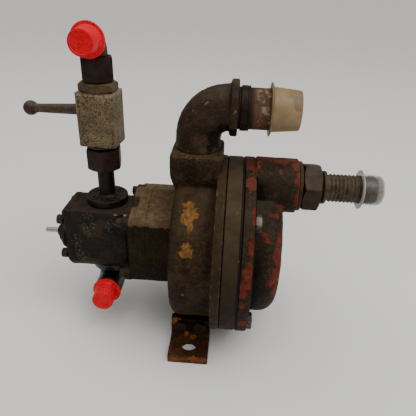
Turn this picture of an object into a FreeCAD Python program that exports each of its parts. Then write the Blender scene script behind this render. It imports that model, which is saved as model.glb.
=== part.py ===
import FreeCAD, Part
import math
import os
from FreeCAD import Vector as V

# Fuel transfer pump: a centrifugal pump turned by a small gear motor, with a shut-off valve in the
# motor's upper oil line and plastic caps on its four open ports. Millimetres, +Z up.
# The solids are built about the shaft: X along it towards the suction side, Y away from the front,
# zero at the cover gasket. They are then moved so that the origin is the middle of the two foot
# holes, on the surface that the pump stands on.

# Stance and feet, angle irons bolted to the casing
SHAFT_HEIGHT = 135.0
FOOT_X = -58.5
FOOT_WIDTH = 53.5
FOOT_PLATE = 13.0
FOOT_LEG_PLATE = 11.5
FOOT_LEG_Y = 46.0
FOOT_LEG_TOP = 40.0
FOOT_TOE = 40.0
FOOT_HOLE_R = 11.0
FOOT_HOLE_Y = 75.0
FOOT_BEND_R = 5.0
FOOT_BOLT_SPAN = 26.0
FOOT_BOLT_Z = 30.0

# Casing of the pump: spiral body, flange, discharge boss and rear bearing hub
CASING_X0 = -84.5
CASING_X1 = -31.5
CASING_WALL = 10.0
SPIRAL_R0 = 99.0
SPIRAL_GROWTH = 9.0
CASING_EDGE_R = 12.0
CHAMBER_R = 80.0
FLANGE_R = 118.0
FLANGE_PLATE = 11.5
BACK_WALL = 12.0
BOSS_X = -58.3
BOSS_LENGTH = 63.5
BOSS_DEPTH = 72.0
BOSS_TOP = FLANGE_R + 17.0
BOSS_HEIGHT = 28.5
BOSS_CORNER_R = 8.0
HUB_R = 31.0
HUB_LENGTH = 18.0

# Intermediate ring, gasket and suction cover
GASKET_PLATE = 1.5
RING_R = 117.5
RING_EYE_R = 33.0
RING_WEB = 8.0
SPIGOT_DEPTH = 14.0
SPIGOT_FIT = 0.1
COVER_PLATE = 15.0
COVER_WALL = 9.0
DOME_R = 90.0
DOME_LENGTH = 36.0
DOME_EDGE_R = 22.0
INLET_Z = 90.0
INLET_R = 34.5
INLET_END = 67.5
COVER_BOLT_R = 104.0
COVER_BOLT_COUNT = 4
COVER_BOLT_ANGLE = 45.0

# Screwed pipe fittings: an inch and a half pipe is 48.3 mm outside
PIPE_R = 24.15
PIPE_THREAD_R = 23.8
PIPE_BORE_R = 20.5
THREAD_FIT = 0.1
HEX_INLET = 55.0
BARB_R = 17.9
BARB_ROOT_R = 16.4
BARB_PITCH = 6.4
BARB_COUNT = 8
BARB_BORE_R = 13.0
HOSE_TAIL_END = 166.0
ELBOW_Z = BOSS_TOP + 51.0
ELBOW_R = 27.5
ELBOW_BEND_R = 36.0
ELBOW_MOUTH_X = -12.0
ELBOW_BAND_R = 33.0
ELBOW_BAND = 10.0
NIPPLE_END = 34.0
BUSHING_END = 1.0
BUSHING_R = 26.3
ELBOW_SOCKET = 9.0
COVER_BOLT_AF = 19.0
COVER_BOLT_HEAD = 7.0

# Shaft line of the pump
SHAFT_R = 10.0
RUN_FIT = 0.05
IMPELLER_R = 74.0
IMPELLER_DISC = 4.0
IMPELLER_FIT = 3.0
VANE_COUNT = 6
VANE_THICK = 4.0
VANE_HEIGHT = 22.0
VANE_SWEEP = 62.0
IMPELLER_BORE_R = 8.0
IMPELLER_HUB_R = 15.0
NUT_AF = 22.0
BEARING_R = 23.5
BEARING_WIDTH = 14.0
SEAL_R = 19.0

# Coupling between motor and pump
COUPLING_R = 19.0
COUPLING_X0 = -136.0
COUPLING_X1 = -116.0
SPIDER_WIDTH = 6.0
JAW_COUNT = 3

# Adapter between motor and pump, a six-sided section with a round chamber
ADAPTER_X0 = -142.5
ADAPTER_SEAM = -120.5
ADAPTER_Y = 17.0
ADAPTER_HALF_DEPTH = 60.0
ADAPTER_HALF_FRONT = 44.5
ADAPTER_HALF_RIDGE = 65.0
ADAPTER_BORE_R = 36.0
PILOT_R = 25.0
PILOT_DEPTH = 5.0
TIE_Z = 47.0
TIE_Y = 24.0

# Gear motor
MOTOR_X0 = -224.5
MOTOR_X1 = -150.5
MOTOR_FRONT = -23.0
MOTOR_BACK = 49.0
MOTOR_HALF_HEIGHT = 45.5
MOTOR_BACK_CUT = 16.0
MOTOR_FLANGE = 8.0
END_COVER = 12.0
LUG_R = 9.5
LUG_Z = 39.0
LUG_Y = 48.0
STUB_END = -270.0
STUB_R = 3.5
STUB_COVER_R = 4.5
STUB_SHOULDER = 0.5
BOSS_STEPS = ((0.0, 24.0), (4.0, 22.0), (5.0, 16.0), (10.0, 14.5), (11.0, 9.0), (15.0, 7.0))
GEAR_TEETH = 13
GEAR_MODULE = 2.0
PRESSURE_ANGLE = 24.0
GEAR_TIP_R = 14.8
GEAR_ROOT_R = 10.4
GEAR_BACKLASH = 0.3
GEAR_BORE_R = 15.1
BLOCK_WIDTH = 15.0
JOURNAL_R = 8.5
DRIVE_R = 8.0
THROUGH_BOLT_Z = 27.0
THROUGH_BOLT_Y = 28.0

# Oil ports of the motor: round four-screw flanges
PORT_X = -182.0
PORT_FLANGE_R = 27.5
PORT_FLANGE = 10.0
PORT_PCD = 40.0
PORT_BORE_R = 8.5
OIL_PIPE_R = 11.0

# Block ball valve standing on the upper port
VALVE_Z = 162.2
VALVE_WIDTH = 46.5
VALVE_DEPTH = 42.0
VALVE_HEIGHT = 65.5
VALVE_EDGE = 3.0
VALVE_TURN = 5.0
BALL_R = 16.0
BALL_BORE_R = 8.5
BALL_FIT = 0.4
CAVITY_R = 17.0
SPIGOT_R = 15.0
RING_HEX_AF = 46.0
RING_HEX = 12.0
LOWER_NUT_AF = 41.0
LOWER_NUT_Z0 = 95.5
LOWER_NUT_Z1 = 123.5
UPPER_NUT_AF = 36.0
UPPER_NUT_Z1 = 235.5
STEM_R = 6.0
GLAND_AF = 24.0
GLAND = 6.0
LEVER_HUB_R = 13.0
LEVER_PLATE = 10.0
LEVER_REACH = 112.0
LEVER_ROOT_R = 8.2
LEVER_TIP_R = 5.6
LEVER_BALL_R = 10.0

# Swivel elbow on the valve, elbow under the motor, and the caps
TOP_ELBOW_Z = 255.5
TOP_ELBOW_R = 14.0
TOP_MOUTH_Y = -23.0
LOW_ELBOW_Z = -78.5
LOW_ELBOW_R = 19.0
LOW_MOUTH_Y = -40.0
OIL_THREAD_R = 13.5
OIL_BORE_R = 9.0
CAP_FIT = 0.3
CAP_WALL = 1.6
CAP_LENGTH = 25.5
CAP_GRIP = 13.0
CAP_LIP_R = 20.0
CAP_END_R = 14.5
WHITE_CAP_LENGTH = 35.5
WHITE_CAP_GRIP = 9.5
WHITE_CAP_LIP_R = 31.0
WHITE_CAP_END_R = 23.2
CLEAR_CAP_GRIP = 20.0
CLEAR_CAP_ROOM = 9.4
CLEAR_CAP_LIP_R = 24.6
CLEAR_CAP_WALL = 1.2

AXIS_X = V(1, 0, 0)
AXIS_Y = V(0, 1, 0)
AXIS_Z = V(0, 0, 1)

MOTOR_Y = (MOTOR_FRONT + MOTOR_BACK) / 2
GEAR_CENTRES = GEAR_TEETH * GEAR_MODULE
FLANGE_X1 = CASING_X1 + FLANGE_PLATE
RING_X1 = -GASKET_PLATE / 2
COVER_X0 = GASKET_PLATE / 2
COVER_X1 = COVER_X0 + COVER_PLATE
DOME_X1 = COVER_X1 + DOME_LENGTH
HUB_X0 = CASING_X0 - HUB_LENGTH
CHAMBER_X0 = CASING_X0 + BACK_WALL
IMPELLER_X0 = CHAMBER_X0 + IMPELLER_FIT
VANE_X1 = IMPELLER_X0 + IMPELLER_DISC + VANE_HEIGHT
GEAR_X0 = MOTOR_X0 + BLOCK_WIDTH + 0.2
GEAR_X1 = MOTOR_X1 - BLOCK_WIDTH - 0.2
FOOT_LEG_OUT = FOOT_LEG_Y + FOOT_LEG_PLATE


def turned(profile, origin, axis):
    """Solid of revolution from (distance along axis, radius) points."""
    points = [V(radius, 0, along) for along, radius in profile]
    face = Part.Face(Part.makePolygon(points + points[:1]))
    solid = face.revolve(V(0, 0, 0), AXIS_Z, 360)
    solid.Placement = FreeCAD.Placement(origin, FreeCAD.Rotation(AXIS_Z, axis))
    return solid


def rod(radius, start, end):
    """Round bar between two points."""
    axis = end - start
    return Part.makeCylinder(radius, axis.Length, start, axis)


def pipe(radius, bore, start, end):
    """Round tube between two points."""
    return rod(radius, start, end).cut(rod(bore, start, end))


def shaft_rod(radius, x0, x1, y=0.0, z=0.0):
    """Round bar along the shaft direction."""
    return rod(radius, V(x0, y, z), V(x1, y, z))


def hexagon(flats, start, end, turn=0.0, chamfered=True):
    """Hexagonal bar, with its corners chamfered at the far end unless told otherwise."""
    axis = end - start
    corner = flats / math.sqrt(3)
    angles = [math.radians(turn + 60 * i) for i in range(7)]
    outline = Part.makePolygon([V(corner * math.cos(a), corner * math.sin(a), 0) for a in angles])
    nut = Part.Face(outline).extrude(V(0, 0, axis.Length))
    if chamfered:
        land = flats / 2 * 1.01
        rise = min((corner - land) * 0.6, axis.Length / 4)
        cone = [(0, 0), (0, corner + 1), (axis.Length - rise, corner + 1), (axis.Length - rise, corner),
                (axis.Length, land), (axis.Length, 0)]
        nut = nut.common(turned(cone, V(0, 0, 0), AXIS_Z))
    nut.Placement = FreeCAD.Placement(start, FreeCAD.Rotation(AXIS_Z, axis))
    return nut


def block(x0, x1, y0, y1, z0, z1):
    """Rectangular block from its limits."""
    return Part.makeBox(x1 - x0, y1 - y0, z1 - z0, V(x0, y0, z0))


def join(shapes):
    """One solid from touching or overlapping solids."""
    return shapes[0].multiFuse(shapes[1:]).removeSplitter()


def bend(radius, points, bend_r):
    """Round bar along two straight runs at right angles and the arc between them."""
    start, corner, end = points
    into = (corner - start).normalize()
    out = (end - corner).normalize()
    arc_start = corner - into * bend_r
    arc_end = corner + out * bend_r
    section = Part.Face(Part.Wire([Part.makeCircle(radius, arc_start, into)]))
    arc = section.revolve(arc_start + out * bend_r, into.cross(out), 90)
    return join([rod(radius, start, arc_start), arc, rod(radius, arc_end, end)])


def cap_screw(head_r, head, shank_r, length, seat, axis):
    """Cheese-head screw: the head stands on the seat point, the shank goes against the axis."""
    return turned([(-length, 0), (-length, shank_r), (0, shank_r), (0, head_r), (head, head_r), (head, 0)],
                  seat, axis)


def hex_bolt(flats, head, shank_r, length, seat, axis, turn=0.0):
    """Hexagon-head bolt: the head stands on the seat point, the shank goes against the axis."""
    cap = hexagon(flats, seat, seat + axis * head, turn, False)
    return join([cap, rod(shank_r, seat - axis * length, seat)])


def circle_places(radius, count, first):
    """Y and Z of points evenly spread about the shaft."""
    angles = [math.radians(first + 360.0 * i / count) for i in range(count)]
    return [(radius * math.cos(a), radius * math.sin(a)) for a in angles]


# Pump casing

def spiral_face(inset):
    """Round outline that widens by a spiral and closes again under the discharge boss."""
    steps = 12
    points = []
    for i in range(steps):
        turn = i / steps
        radius = SPIRAL_R0 + SPIRAL_GROWTH * turn - inset
        angle = math.radians(90 + 360 * turn)
        points.append(V(0, radius * math.cos(angle), radius * math.sin(angle)))
    curve = Part.BSplineCurve()
    curve.interpolate(Points=points, PeriodicFlag=True)
    return Part.Face(Part.Wire([curve.toShape()]))


def boss_neck():
    """Taper that blends the square discharge boss into the spiral body."""
    top = BOSS_TOP - BOSS_HEIGHT
    wires = []
    for shrink, z in ((0.0, top), (6.0, top - 22.0)):
        x0 = BOSS_X - BOSS_LENGTH / 2 + shrink
        y0 = BOSS_DEPTH / 2 - shrink
        box = block(x0, BOSS_X + BOSS_LENGTH / 2, -y0, y0, z, z + 1)
        box = box.makeFillet(BOSS_CORNER_R, [e for e in box.Edges if is_along(e, AXIS_Z)])
        lowest = min(box.Faces, key=lambda face: face.CenterOfMass.z)
        wires.append(lowest.OuterWire)
    return Part.makeLoft(wires, True)


def is_along(edge, axis):
    """True for a straight edge in the direction of the axis."""
    if edge.Curve.TypeId != "Part::GeomLine":
        return False
    return abs(edge.Curve.Direction.dot(axis)) > 0.999


def volute_casing():
    body = spiral_face(0).extrude(V(CASING_X1 - CASING_X0, 0, 0))
    body.translate(V(CASING_X0, 0, 0))
    rear = [e for e in body.Edges if e.Length > FLANGE_R and abs(e.CenterOfMass.x - CASING_X0) < 0.1]
    body = body.makeFillet(CASING_EDGE_R, rear)
    boss = block(BOSS_X - BOSS_LENGTH / 2, BOSS_X + BOSS_LENGTH / 2, -BOSS_DEPTH / 2, BOSS_DEPTH / 2,
                 BOSS_TOP - BOSS_HEIGHT, BOSS_TOP)
    uprights = [e for e in boss.Edges if is_along(e, AXIS_Z)]
    boss = boss.makeFillet(BOSS_CORNER_R, uprights)
    rim = [e for e in boss.Edges if abs(e.CenterOfMass.z - BOSS_TOP) < 0.1]
    boss = boss.makeFillet(2.5, rim)
    flange = shaft_rod(FLANGE_R, CASING_X1, FLANGE_X1)
    hub = shaft_rod(HUB_R, HUB_X0, CASING_X0 + 1)
    pads = [foot_pad(side) for side in (-1, 1)]
    casing = join([body, boss, boss_neck(), flange, hub] + pads)
    chamber = spiral_face(CASING_WALL).extrude(V(CASING_X1 - CHAMBER_X0, 0, 0))
    chamber.translate(V(CHAMBER_X0, 0, 0))
    mouth = shaft_rod(CHAMBER_R, CASING_X1 - 1, FLANGE_X1 + 1)
    outlet = rod(PIPE_BORE_R, V(BOSS_X, 0, CHAMBER_R - 10), V(BOSS_X, 0, BOSS_TOP + 1))
    socket = rod(PIPE_R, V(BOSS_X, 0, BOSS_TOP - 24), V(BOSS_X, 0, BOSS_TOP + 1))
    bearing_seat = shaft_rod(BEARING_R, HUB_X0 - 1, HUB_X0 + BEARING_WIDTH + 1)
    shaft_hole = shaft_rod(SHAFT_R + 2, HUB_X0, CASING_X1)
    seal_seat = shaft_rod(SEAL_R, CASING_X0 + 4, CASING_X1)
    casing = casing.cut([chamber, mouth, outlet, socket, bearing_seat, shaft_hole, seal_seat])
    for y, z in cover_bolt_places():
        casing = casing.cut(shaft_rod(6.0, CASING_X1 + 1, FLANGE_X1 + 1, y, z))
    for x, z in foot_bolt_places():
        for side in (-1, 1):
            casing = casing.cut(rod(5.0, V(x, side * (FOOT_LEG_Y + 1), z), V(x, side * (FOOT_LEG_Y - 17), z)))
    return casing.cut([shaft_rod(5.0, CASING_X0 - 1, CASING_X0 + 10, y, z) for y, z in tie_places()])


def foot_pad(side):
    """Cast pad under the casing with a flat face for the foot's leg."""
    inner = FOOT_LEG_Y - 22
    ys = sorted((side * FOOT_LEG_Y, side * inner))
    half = FOOT_WIDTH / 2 - 2
    bottom = FOOT_BOLT_Z - 12 - SHAFT_HEIGHT
    return block(FOOT_X - half, FOOT_X + half, ys[0], ys[1], bottom, -SPIRAL_R0 * 0.7)


def cover_bolt_places():
    return circle_places(COVER_BOLT_R, COVER_BOLT_COUNT, COVER_BOLT_ANGLE)


def foot_bolt_places():
    """X and Z of the two bolts of a foot."""
    z = FOOT_BOLT_Z - SHAFT_HEIGHT
    return [(FOOT_X - FOOT_BOLT_SPAN / 2, z), (FOOT_X + FOOT_BOLT_SPAN / 2, z)]


# Ring, gasket and cover on the suction side

def intermediate_ring():
    spigot_r = CHAMBER_R - SPIGOT_FIT
    spigot_x0 = FLANGE_X1 - SPIGOT_DEPTH
    profile = [(spigot_x0, RING_EYE_R), (spigot_x0, spigot_r), (FLANGE_X1, spigot_r),
               (FLANGE_X1, RING_R - 1), (FLANGE_X1 + 1, RING_R), (RING_X1 - 1, RING_R),
               (RING_X1, RING_R - 1), (RING_X1, DOME_R - COVER_WALL),
               (spigot_x0 + RING_WEB, spigot_r - RING_WEB - 6), (spigot_x0 + RING_WEB, RING_EYE_R)]
    ring = turned(profile, V(0, 0, 0), AXIS_X)
    return ring.cut([shaft_rod(6.2, FLANGE_X1 - 1, RING_X1 + 1, y, z) for y, z in cover_bolt_places()])


def cover_gasket():
    gasket = shaft_rod(FLANGE_R - 1.5, RING_X1, COVER_X0).cut(
        shaft_rod(DOME_R - COVER_WALL, RING_X1, COVER_X0))
    return gasket.cut([shaft_rod(6.5, RING_X1, COVER_X0, y, z) for y, z in cover_bolt_places()])


def suction_cover():
    plate = turned([(COVER_X0, 0), (COVER_X0, FLANGE_R), (COVER_X1 - 1.5, FLANGE_R),
                    (COVER_X1, FLANGE_R - 1.5), (COVER_X1, 0)], V(0, 0, 0), AXIS_X)
    dome = shaft_rod(DOME_R, COVER_X1 - 1, DOME_X1)
    dome = dome.makeFillet(DOME_EDGE_R, [e for e in dome.Edges if abs(e.CenterOfMass.x - DOME_X1) < 0.1])
    boss = shaft_rod(INLET_R, COVER_X1 - 1, INLET_END, 0, INLET_Z)
    cover = join([plate, dome, boss])
    inside_r = DOME_R - COVER_WALL
    inside = turned([(COVER_X0 - 1, 0), (COVER_X0 - 1, inside_r), (DOME_X1 - DOME_EDGE_R, inside_r),
                     (DOME_X1 - COVER_WALL, inside_r - DOME_EDGE_R + COVER_WALL), (DOME_X1 - COVER_WALL, 0)],
                    V(0, 0, 0), AXIS_X)
    throat = shaft_rod(PIPE_BORE_R, COVER_X1 + 4, INLET_END + 1, 0, INLET_Z)
    socket = shaft_rod(PIPE_R, INLET_END - 26, INLET_END + 1, 0, INLET_Z)
    cover = cover.cut([inside, throat, socket])
    return cover.cut([shaft_rod(6.5, COVER_X0 - 1, COVER_X1 + 1, y, z) for y, z in cover_bolt_places()])


def cover_bolts():
    seat_length = COVER_X1 - CASING_X1 - 2
    bolts = [hex_bolt(COVER_BOLT_AF, COVER_BOLT_HEAD, 5.9, seat_length, V(COVER_X1, y, z), AXIS_X, 15.0)
             for y, z in cover_bolt_places()]
    return Part.makeCompound(bolts)


def wear_ring():
    x0 = FLANGE_X1 - SPIGOT_DEPTH
    return pipe(RING_EYE_R, RING_EYE_R - 4, V(x0, 0, 0), V(x0 + RING_WEB, 0, 0))


# Rotating parts of the pump

def vane(angle):
    """One backward-curved blade, thicker than a sheet, as the space between two arcs."""
    radii = (IMPELLER_HUB_R - 1, (IMPELLER_HUB_R + IMPELLER_R) / 2, IMPELLER_R - 0.5)
    sides = []
    for offset in (-0.5, 0.5):
        points = []
        for r in radii:
            grow = math.log(r / radii[0]) / math.log(radii[-1] / radii[0])
            a = math.radians(angle + VANE_SWEEP * grow) + offset * VANE_THICK / r
            points.append(V(0, r * math.cos(a), r * math.sin(a)))
        sides.append(points)
    low, high = sides
    wire = Part.Wire([Part.Arc(*low).toShape(), Part.makeLine(low[2], high[2]),
                      Part.Arc(*high).toShape(), Part.makeLine(high[0], low[0])])
    blade = Part.Face(wire).extrude(V(VANE_HEIGHT + 1, 0, 0))
    blade.translate(V(IMPELLER_X0 + IMPELLER_DISC - 1, 0, 0))
    return blade


def impeller():
    hub_x1 = VANE_X1 + 4
    body = turned([(IMPELLER_X0, 0), (IMPELLER_X0, IMPELLER_R), (IMPELLER_X0 + IMPELLER_DISC, IMPELLER_R),
                   (IMPELLER_X0 + IMPELLER_DISC + 2, IMPELLER_HUB_R + 8), (VANE_X1, IMPELLER_HUB_R),
                   (hub_x1, IMPELLER_HUB_R - 2), (hub_x1, 0)], V(0, 0, 0), AXIS_X)
    wheel = join([body] + [vane(i * 360.0 / VANE_COUNT) for i in range(VANE_COUNT)])
    bore = shaft_rod(IMPELLER_BORE_R, IMPELLER_X0 - 1, hub_x1 + 1)
    keyway = block(IMPELLER_X0 - 1, hub_x1 + 1, -2.5, 2.5, 0, IMPELLER_BORE_R + 2)
    return wheel.cut([bore, keyway])


def impeller_key():
    x0 = IMPELLER_X0 + 4
    return block(x0, x0 + 14, -2.5, 2.5, IMPELLER_BORE_R - 3, IMPELLER_BORE_R + 2)


def impeller_nut():
    x0 = VANE_X1 + 4
    nut = hexagon(NUT_AF, V(x0, 0, 0), V(x0 + 9, 0, 0))
    dome = turned([(x0 + 9, 0), (x0 + 9, 9.0), (x0 + 15, 6.5), (x0 + 18, 0)], V(0, 0, 0), AXIS_X)
    return join([nut, dome]).cut(shaft_rod(6.0, x0 - 1, x0 + 10))


def pump_shaft():
    nut_x1 = VANE_X1 + 13
    start = COUPLING_X1 - 7
    profile = [(start, 0), (start, DRIVE_R), (HUB_X0 - 1, DRIVE_R), (HUB_X0 - 1, SHAFT_R),
               (IMPELLER_X0, SHAFT_R), (IMPELLER_X0, IMPELLER_BORE_R), (VANE_X1 + 4, IMPELLER_BORE_R),
               (VANE_X1 + 4, 6.0), (nut_x1, 6.0), (nut_x1, 0)]
    shaft = turned(profile, V(0, 0, 0), AXIS_X)
    x0 = IMPELLER_X0 + 4
    return shaft.cut(block(x0, x0 + 14, -2.5, 2.5, IMPELLER_BORE_R - 3, IMPELLER_BORE_R + 3))


def shaft_bearing():
    """Sealed ball bearing as one ring, with the grooves between its races and shields."""
    x0 = HUB_X0 + 0.5
    x1 = x0 + BEARING_WIDTH
    bore = SHAFT_R + RUN_FIT
    rim = BEARING_R - 0.02
    profile = [(x0, bore), (x0, 13.5), (x0 + 1, 13.5), (x0 + 1, 20), (x0, 20), (x0, rim), (x1, rim), (x1, 20),
               (x1 - 1, 20), (x1 - 1, 13.5), (x1, 13.5), (x1, bore)]
    return turned(profile, V(0, 0, 0), AXIS_X)


def seal_seat():
    x0 = CASING_X0 + 4
    return pipe(SEAL_R, SHAFT_R + 1.5, V(x0, 0, 0), V(x0 + 5, 0, 0))


def seal_face():
    """Turning half of the shaft seal, held on the shaft behind the impeller."""
    x0 = CASING_X0 + 9.3
    profile = [(x0, SHAFT_R), (x0, 14), (x0 + 2, 14), (x0 + 2, 16), (IMPELLER_X0, 16), (IMPELLER_X0, SHAFT_R)]
    return turned(profile, V(0, 0, 0), AXIS_X)


# Coupling

def coupling_hub(x0, x1, jaw_x, first):
    """Disc with three jaws that reach into the elastic spider."""
    low, high = sorted((x0, x1))
    hub = shaft_rod(COUPLING_R, low, high)
    ends = sorted((x1, jaw_x))
    band = pipe(COUPLING_R, 10.5, V(ends[0], 0, 0), V(ends[1], 0, 0))
    half = math.radians(22.0)
    jaws = []
    for i in range(JAW_COUNT):
        middle = math.radians(first + i * 360.0 / JAW_COUNT)
        reach = COUPLING_R * 2
        corners = [V(ends[0], 0, 0)]
        corners += [V(ends[0], reach * math.cos(a), reach * math.sin(a)) for a in (middle - half, middle + half)]
        wedge = Part.Face(Part.makePolygon(corners + corners[:1])).extrude(V(ends[1] - ends[0], 0, 0))
        jaws.append(band.common(wedge))
    return join([hub] + jaws).cut(shaft_rod(DRIVE_R, low - 1, high + 1))


def motor_coupling_hub():
    x1 = (COUPLING_X0 + COUPLING_X1 - SPIDER_WIDTH) / 2
    return coupling_hub(COUPLING_X0, x1, x1 + SPIDER_WIDTH - 0.5, 0.0)


def pump_coupling_hub():
    x1 = (COUPLING_X0 + COUPLING_X1 + SPIDER_WIDTH) / 2
    return coupling_hub(COUPLING_X1, x1, x1 - SPIDER_WIDTH + 0.5, 60.0)


def coupling_spider():
    """Rubber star that fills the spaces between the jaws."""
    x0 = (COUPLING_X0 + COUPLING_X1 - SPIDER_WIDTH) / 2
    star = pipe(COUPLING_R - 0.5, DRIVE_R + 0.5, V(x0, 0, 0), V(x0 + SPIDER_WIDTH, 0, 0))
    return star.cut([motor_coupling_hub(), pump_coupling_hub()])


# Adapter

def adapter_outline(inset=0.0):
    """Six-sided section with upright front and back faces and ridges above and below."""
    depth = ADAPTER_HALF_DEPTH - inset
    front = ADAPTER_HALF_FRONT - inset * 0.7
    ridge = ADAPTER_HALF_RIDGE - inset
    corners = [(-depth, -front), (0, -ridge), (depth, -front), (depth, front), (0, ridge), (-depth, front)]
    points = [V(0, ADAPTER_Y + y, z) for y, z in corners]
    return Part.Face(Part.makePolygon(points + points[:1]))


def adapter_prism(x0, x1):
    prism = adapter_outline().extrude(V(x1 - x0, 0, 0))
    prism.translate(V(x0, 0, 0))
    return prism.makeFillet(4.0, [e for e in prism.Edges if is_along(e, AXIS_X)])


def tie_places():
    """Y and Z of the four long screws through the adapter into the casing."""
    return [(ADAPTER_Y + sy * TIE_Y, sz * TIE_Z) for sy in (-1, 1) for sz in (-1, 1)]


def lug_places():
    """Y and Z of the four screws of the motor's front flange."""
    return [(MOTOR_Y + sy * LUG_Y, sz * LUG_Z) for sy in (-1, 1) for sz in (-1, 1)]


def adapter_plate():
    plate = adapter_prism(ADAPTER_X0, ADAPTER_SEAM)
    plate = plate.cut(shaft_rod(PILOT_R + THREAD_FIT, ADAPTER_X0 - 1, ADAPTER_SEAM + 1))
    cuts = []
    for y, z in tie_places():
        outward = 20.0 if z > 0 else -20.0
        cuts.append(shaft_rod(5.5, ADAPTER_X0 - 1, ADAPTER_SEAM + 1, y, z))
        zs = sorted((z - outward * 0.45, z + outward))
        cuts.append(block(ADAPTER_X0 - 1, ADAPTER_X0 + 8, y - 9, y + 9, zs[0], zs[1]))
    for y, z in lug_places():
        cuts.append(shaft_rod(5.0, ADAPTER_X0 - 1, ADAPTER_X0 + 16, y, z))
    return plate.cut(cuts)


def adapter_housing():
    housing = adapter_prism(ADAPTER_SEAM, CASING_X0)
    cuts = [shaft_rod(ADAPTER_BORE_R, ADAPTER_SEAM - 1, CASING_X0 + 1)]
    cuts += [shaft_rod(5.5, ADAPTER_SEAM - 1, CASING_X0 + 1, y, z) for y, z in tie_places()]
    return housing.cut(cuts)


def adapter_screws():
    seat = ADAPTER_X0 + 8
    screws = [cap_screw(8.0, 7.5, 5.0, CASING_X0 - seat + 9, V(seat, y, z), V(-1, 0, 0))
              for y, z in tie_places()]
    return Part.makeCompound(screws)


# Gear motor

def motor_section(inset=0.0):
    """Upright section of the motor: square upper front edge, the other edges cut back."""
    y0 = MOTOR_FRONT + inset
    y1 = MOTOR_BACK - inset
    z = MOTOR_HALF_HEIGHT - inset
    cut = MOTOR_BACK_CUT
    corners = [(y0, z), (y1 - cut, z), (y1, z - cut), (y1, -z + cut), (y1 - cut, -z), (y0 + 9, -z),
               (y0, -z + 11)]
    points = [V(0, a, b) for a, b in corners]
    return Part.Face(Part.makePolygon(points + points[:1]))


def gear_bores(radius, x0, x1):
    return [shaft_rod(radius, x0, x1, y, 0) for y in (0, GEAR_CENTRES)]


def motor_body():
    body = motor_section().extrude(V(MOTOR_X1 - MOTOR_X0, 0, 0))
    body.translate(V(MOTOR_X0, 0, 0))
    edges = [e for e in body.Edges if is_along(e, AXIS_X) and e.CenterOfMass.y > MOTOR_FRONT + 1]
    body = body.makeFillet(6.0, edges)
    cuts = gear_bores(GEAR_BORE_R, MOTOR_X0 - 1, MOTOR_X1 + 1)
    cuts.append(rod(PORT_BORE_R, V(PORT_X, MOTOR_Y, 0), V(PORT_X, MOTOR_Y, MOTOR_HALF_HEIGHT + 1)))
    cuts.append(rod(PORT_BORE_R, V(PORT_X, MOTOR_Y, 0), V(PORT_X, MOTOR_Y, -MOTOR_HALF_HEIGHT - 1)))
    cuts += [shaft_rod(4.2, MOTOR_X0 - 1, MOTOR_X1 + 1, y, z) for y, z in through_bolt_places()]
    for side in (-1, 1):
        for x, y in port_screw_places():
            face = V(x, y, side * (MOTOR_HALF_HEIGHT + 1))
            cuts.append(rod(3.0, V(x, y, side * (MOTOR_HALF_HEIGHT - 14)), face))
    return body.cut(cuts)


def through_bolt_places():
    """Y and Z of the four bolts that hold the end cover."""
    return [(MOTOR_Y + sy * THROUGH_BOLT_Y, sz * THROUGH_BOLT_Z) for sy in (-1, 1) for sz in (-1, 1)]


def port_screw_places():
    """X and Y of the four screws of a port flange."""
    half = PORT_PCD / 2 * math.sqrt(0.5)
    return [(PORT_X + sx * half, MOTOR_Y + sy * half) for sx in (-1, 1) for sy in (-1, 1)]


def motor_front_flange():
    """Mounting flange with four corner lugs and the centring pilot."""
    plate = motor_section(1.0).extrude(V(MOTOR_FLANGE, 0, 0))
    plate.translate(V(MOTOR_X1, 0, 0))
    lugs = [shaft_rod(LUG_R, MOTOR_X1, ADAPTER_X0, y, z) for y, z in lug_places()]
    arms = []
    for side in (-1, 1):
        z0 = side * LUG_Z
        arms.append(block(MOTOR_X1, ADAPTER_X0, MOTOR_Y - LUG_Y, MOTOR_Y + LUG_Y, z0 - LUG_R, z0 + LUG_R))
    pilot = shaft_rod(PILOT_R, ADAPTER_X0 - 1, ADAPTER_X0 + PILOT_DEPTH)
    flange = join([plate] + lugs + arms + [pilot])
    cuts = [shaft_rod(12.0, MOTOR_X1 + 3, ADAPTER_X0 + PILOT_DEPTH + 1)]
    cuts.append(shaft_rod(JOURNAL_R + 1.0, MOTOR_X1 - 1, MOTOR_X1 + 4))
    cuts += [shaft_rod(4.5, MOTOR_X1 - 1, ADAPTER_X0 + 1, y, z) for y, z in lug_places()]
    cuts += [shaft_rod(4.2, MOTOR_X1 - 1, ADAPTER_X0 - 1, y, z) for y, z in through_bolt_places()]
    return flange.cut(cuts)


def motor_flange_screws():
    screws = [cap_screw(6.5, 8.0, 4.0, MOTOR_FLANGE + 14, V(MOTOR_X1, y, z), V(-1, 0, 0))
              for y, z in lug_places()]
    return Part.makeCompound(screws)


def motor_end_cover():
    """Rear cover with a chamfered rim and a stepped boss round the shaft stub."""
    rim = motor_section().extrude(V(-(END_COVER - 4), 0, 0))
    taper = Part.makeLoft([motor_section().OuterWire, offset_wire(motor_section(4.0), -4.0)], True)
    taper.translate(V(-(END_COVER - 4), 0, 0))
    cover = join([rim, taper])
    cover.translate(V(MOTOR_X0, 0, 0))
    face = MOTOR_X0 - END_COVER
    steps = [(0.0, 0.0)] + [(s, r) for s, r in BOSS_STEPS] + [(BOSS_STEPS[-1][0], 0.0)]
    boss = turned(steps, V(face, 0, 0), V(-1, 0, 0))
    cuts = [shaft_rod(STUB_COVER_R + RUN_FIT, face - 30, MOTOR_X0 + 1)]
    cuts += [shaft_rod(4.2, face - 1, MOTOR_X0 + 1, y, z) for y, z in through_bolt_places()]
    return join([cover, boss]).cut(cuts)


def offset_wire(face, x):
    wire = face.OuterWire.copy()
    wire.translate(V(x, 0, 0))
    return wire


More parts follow.
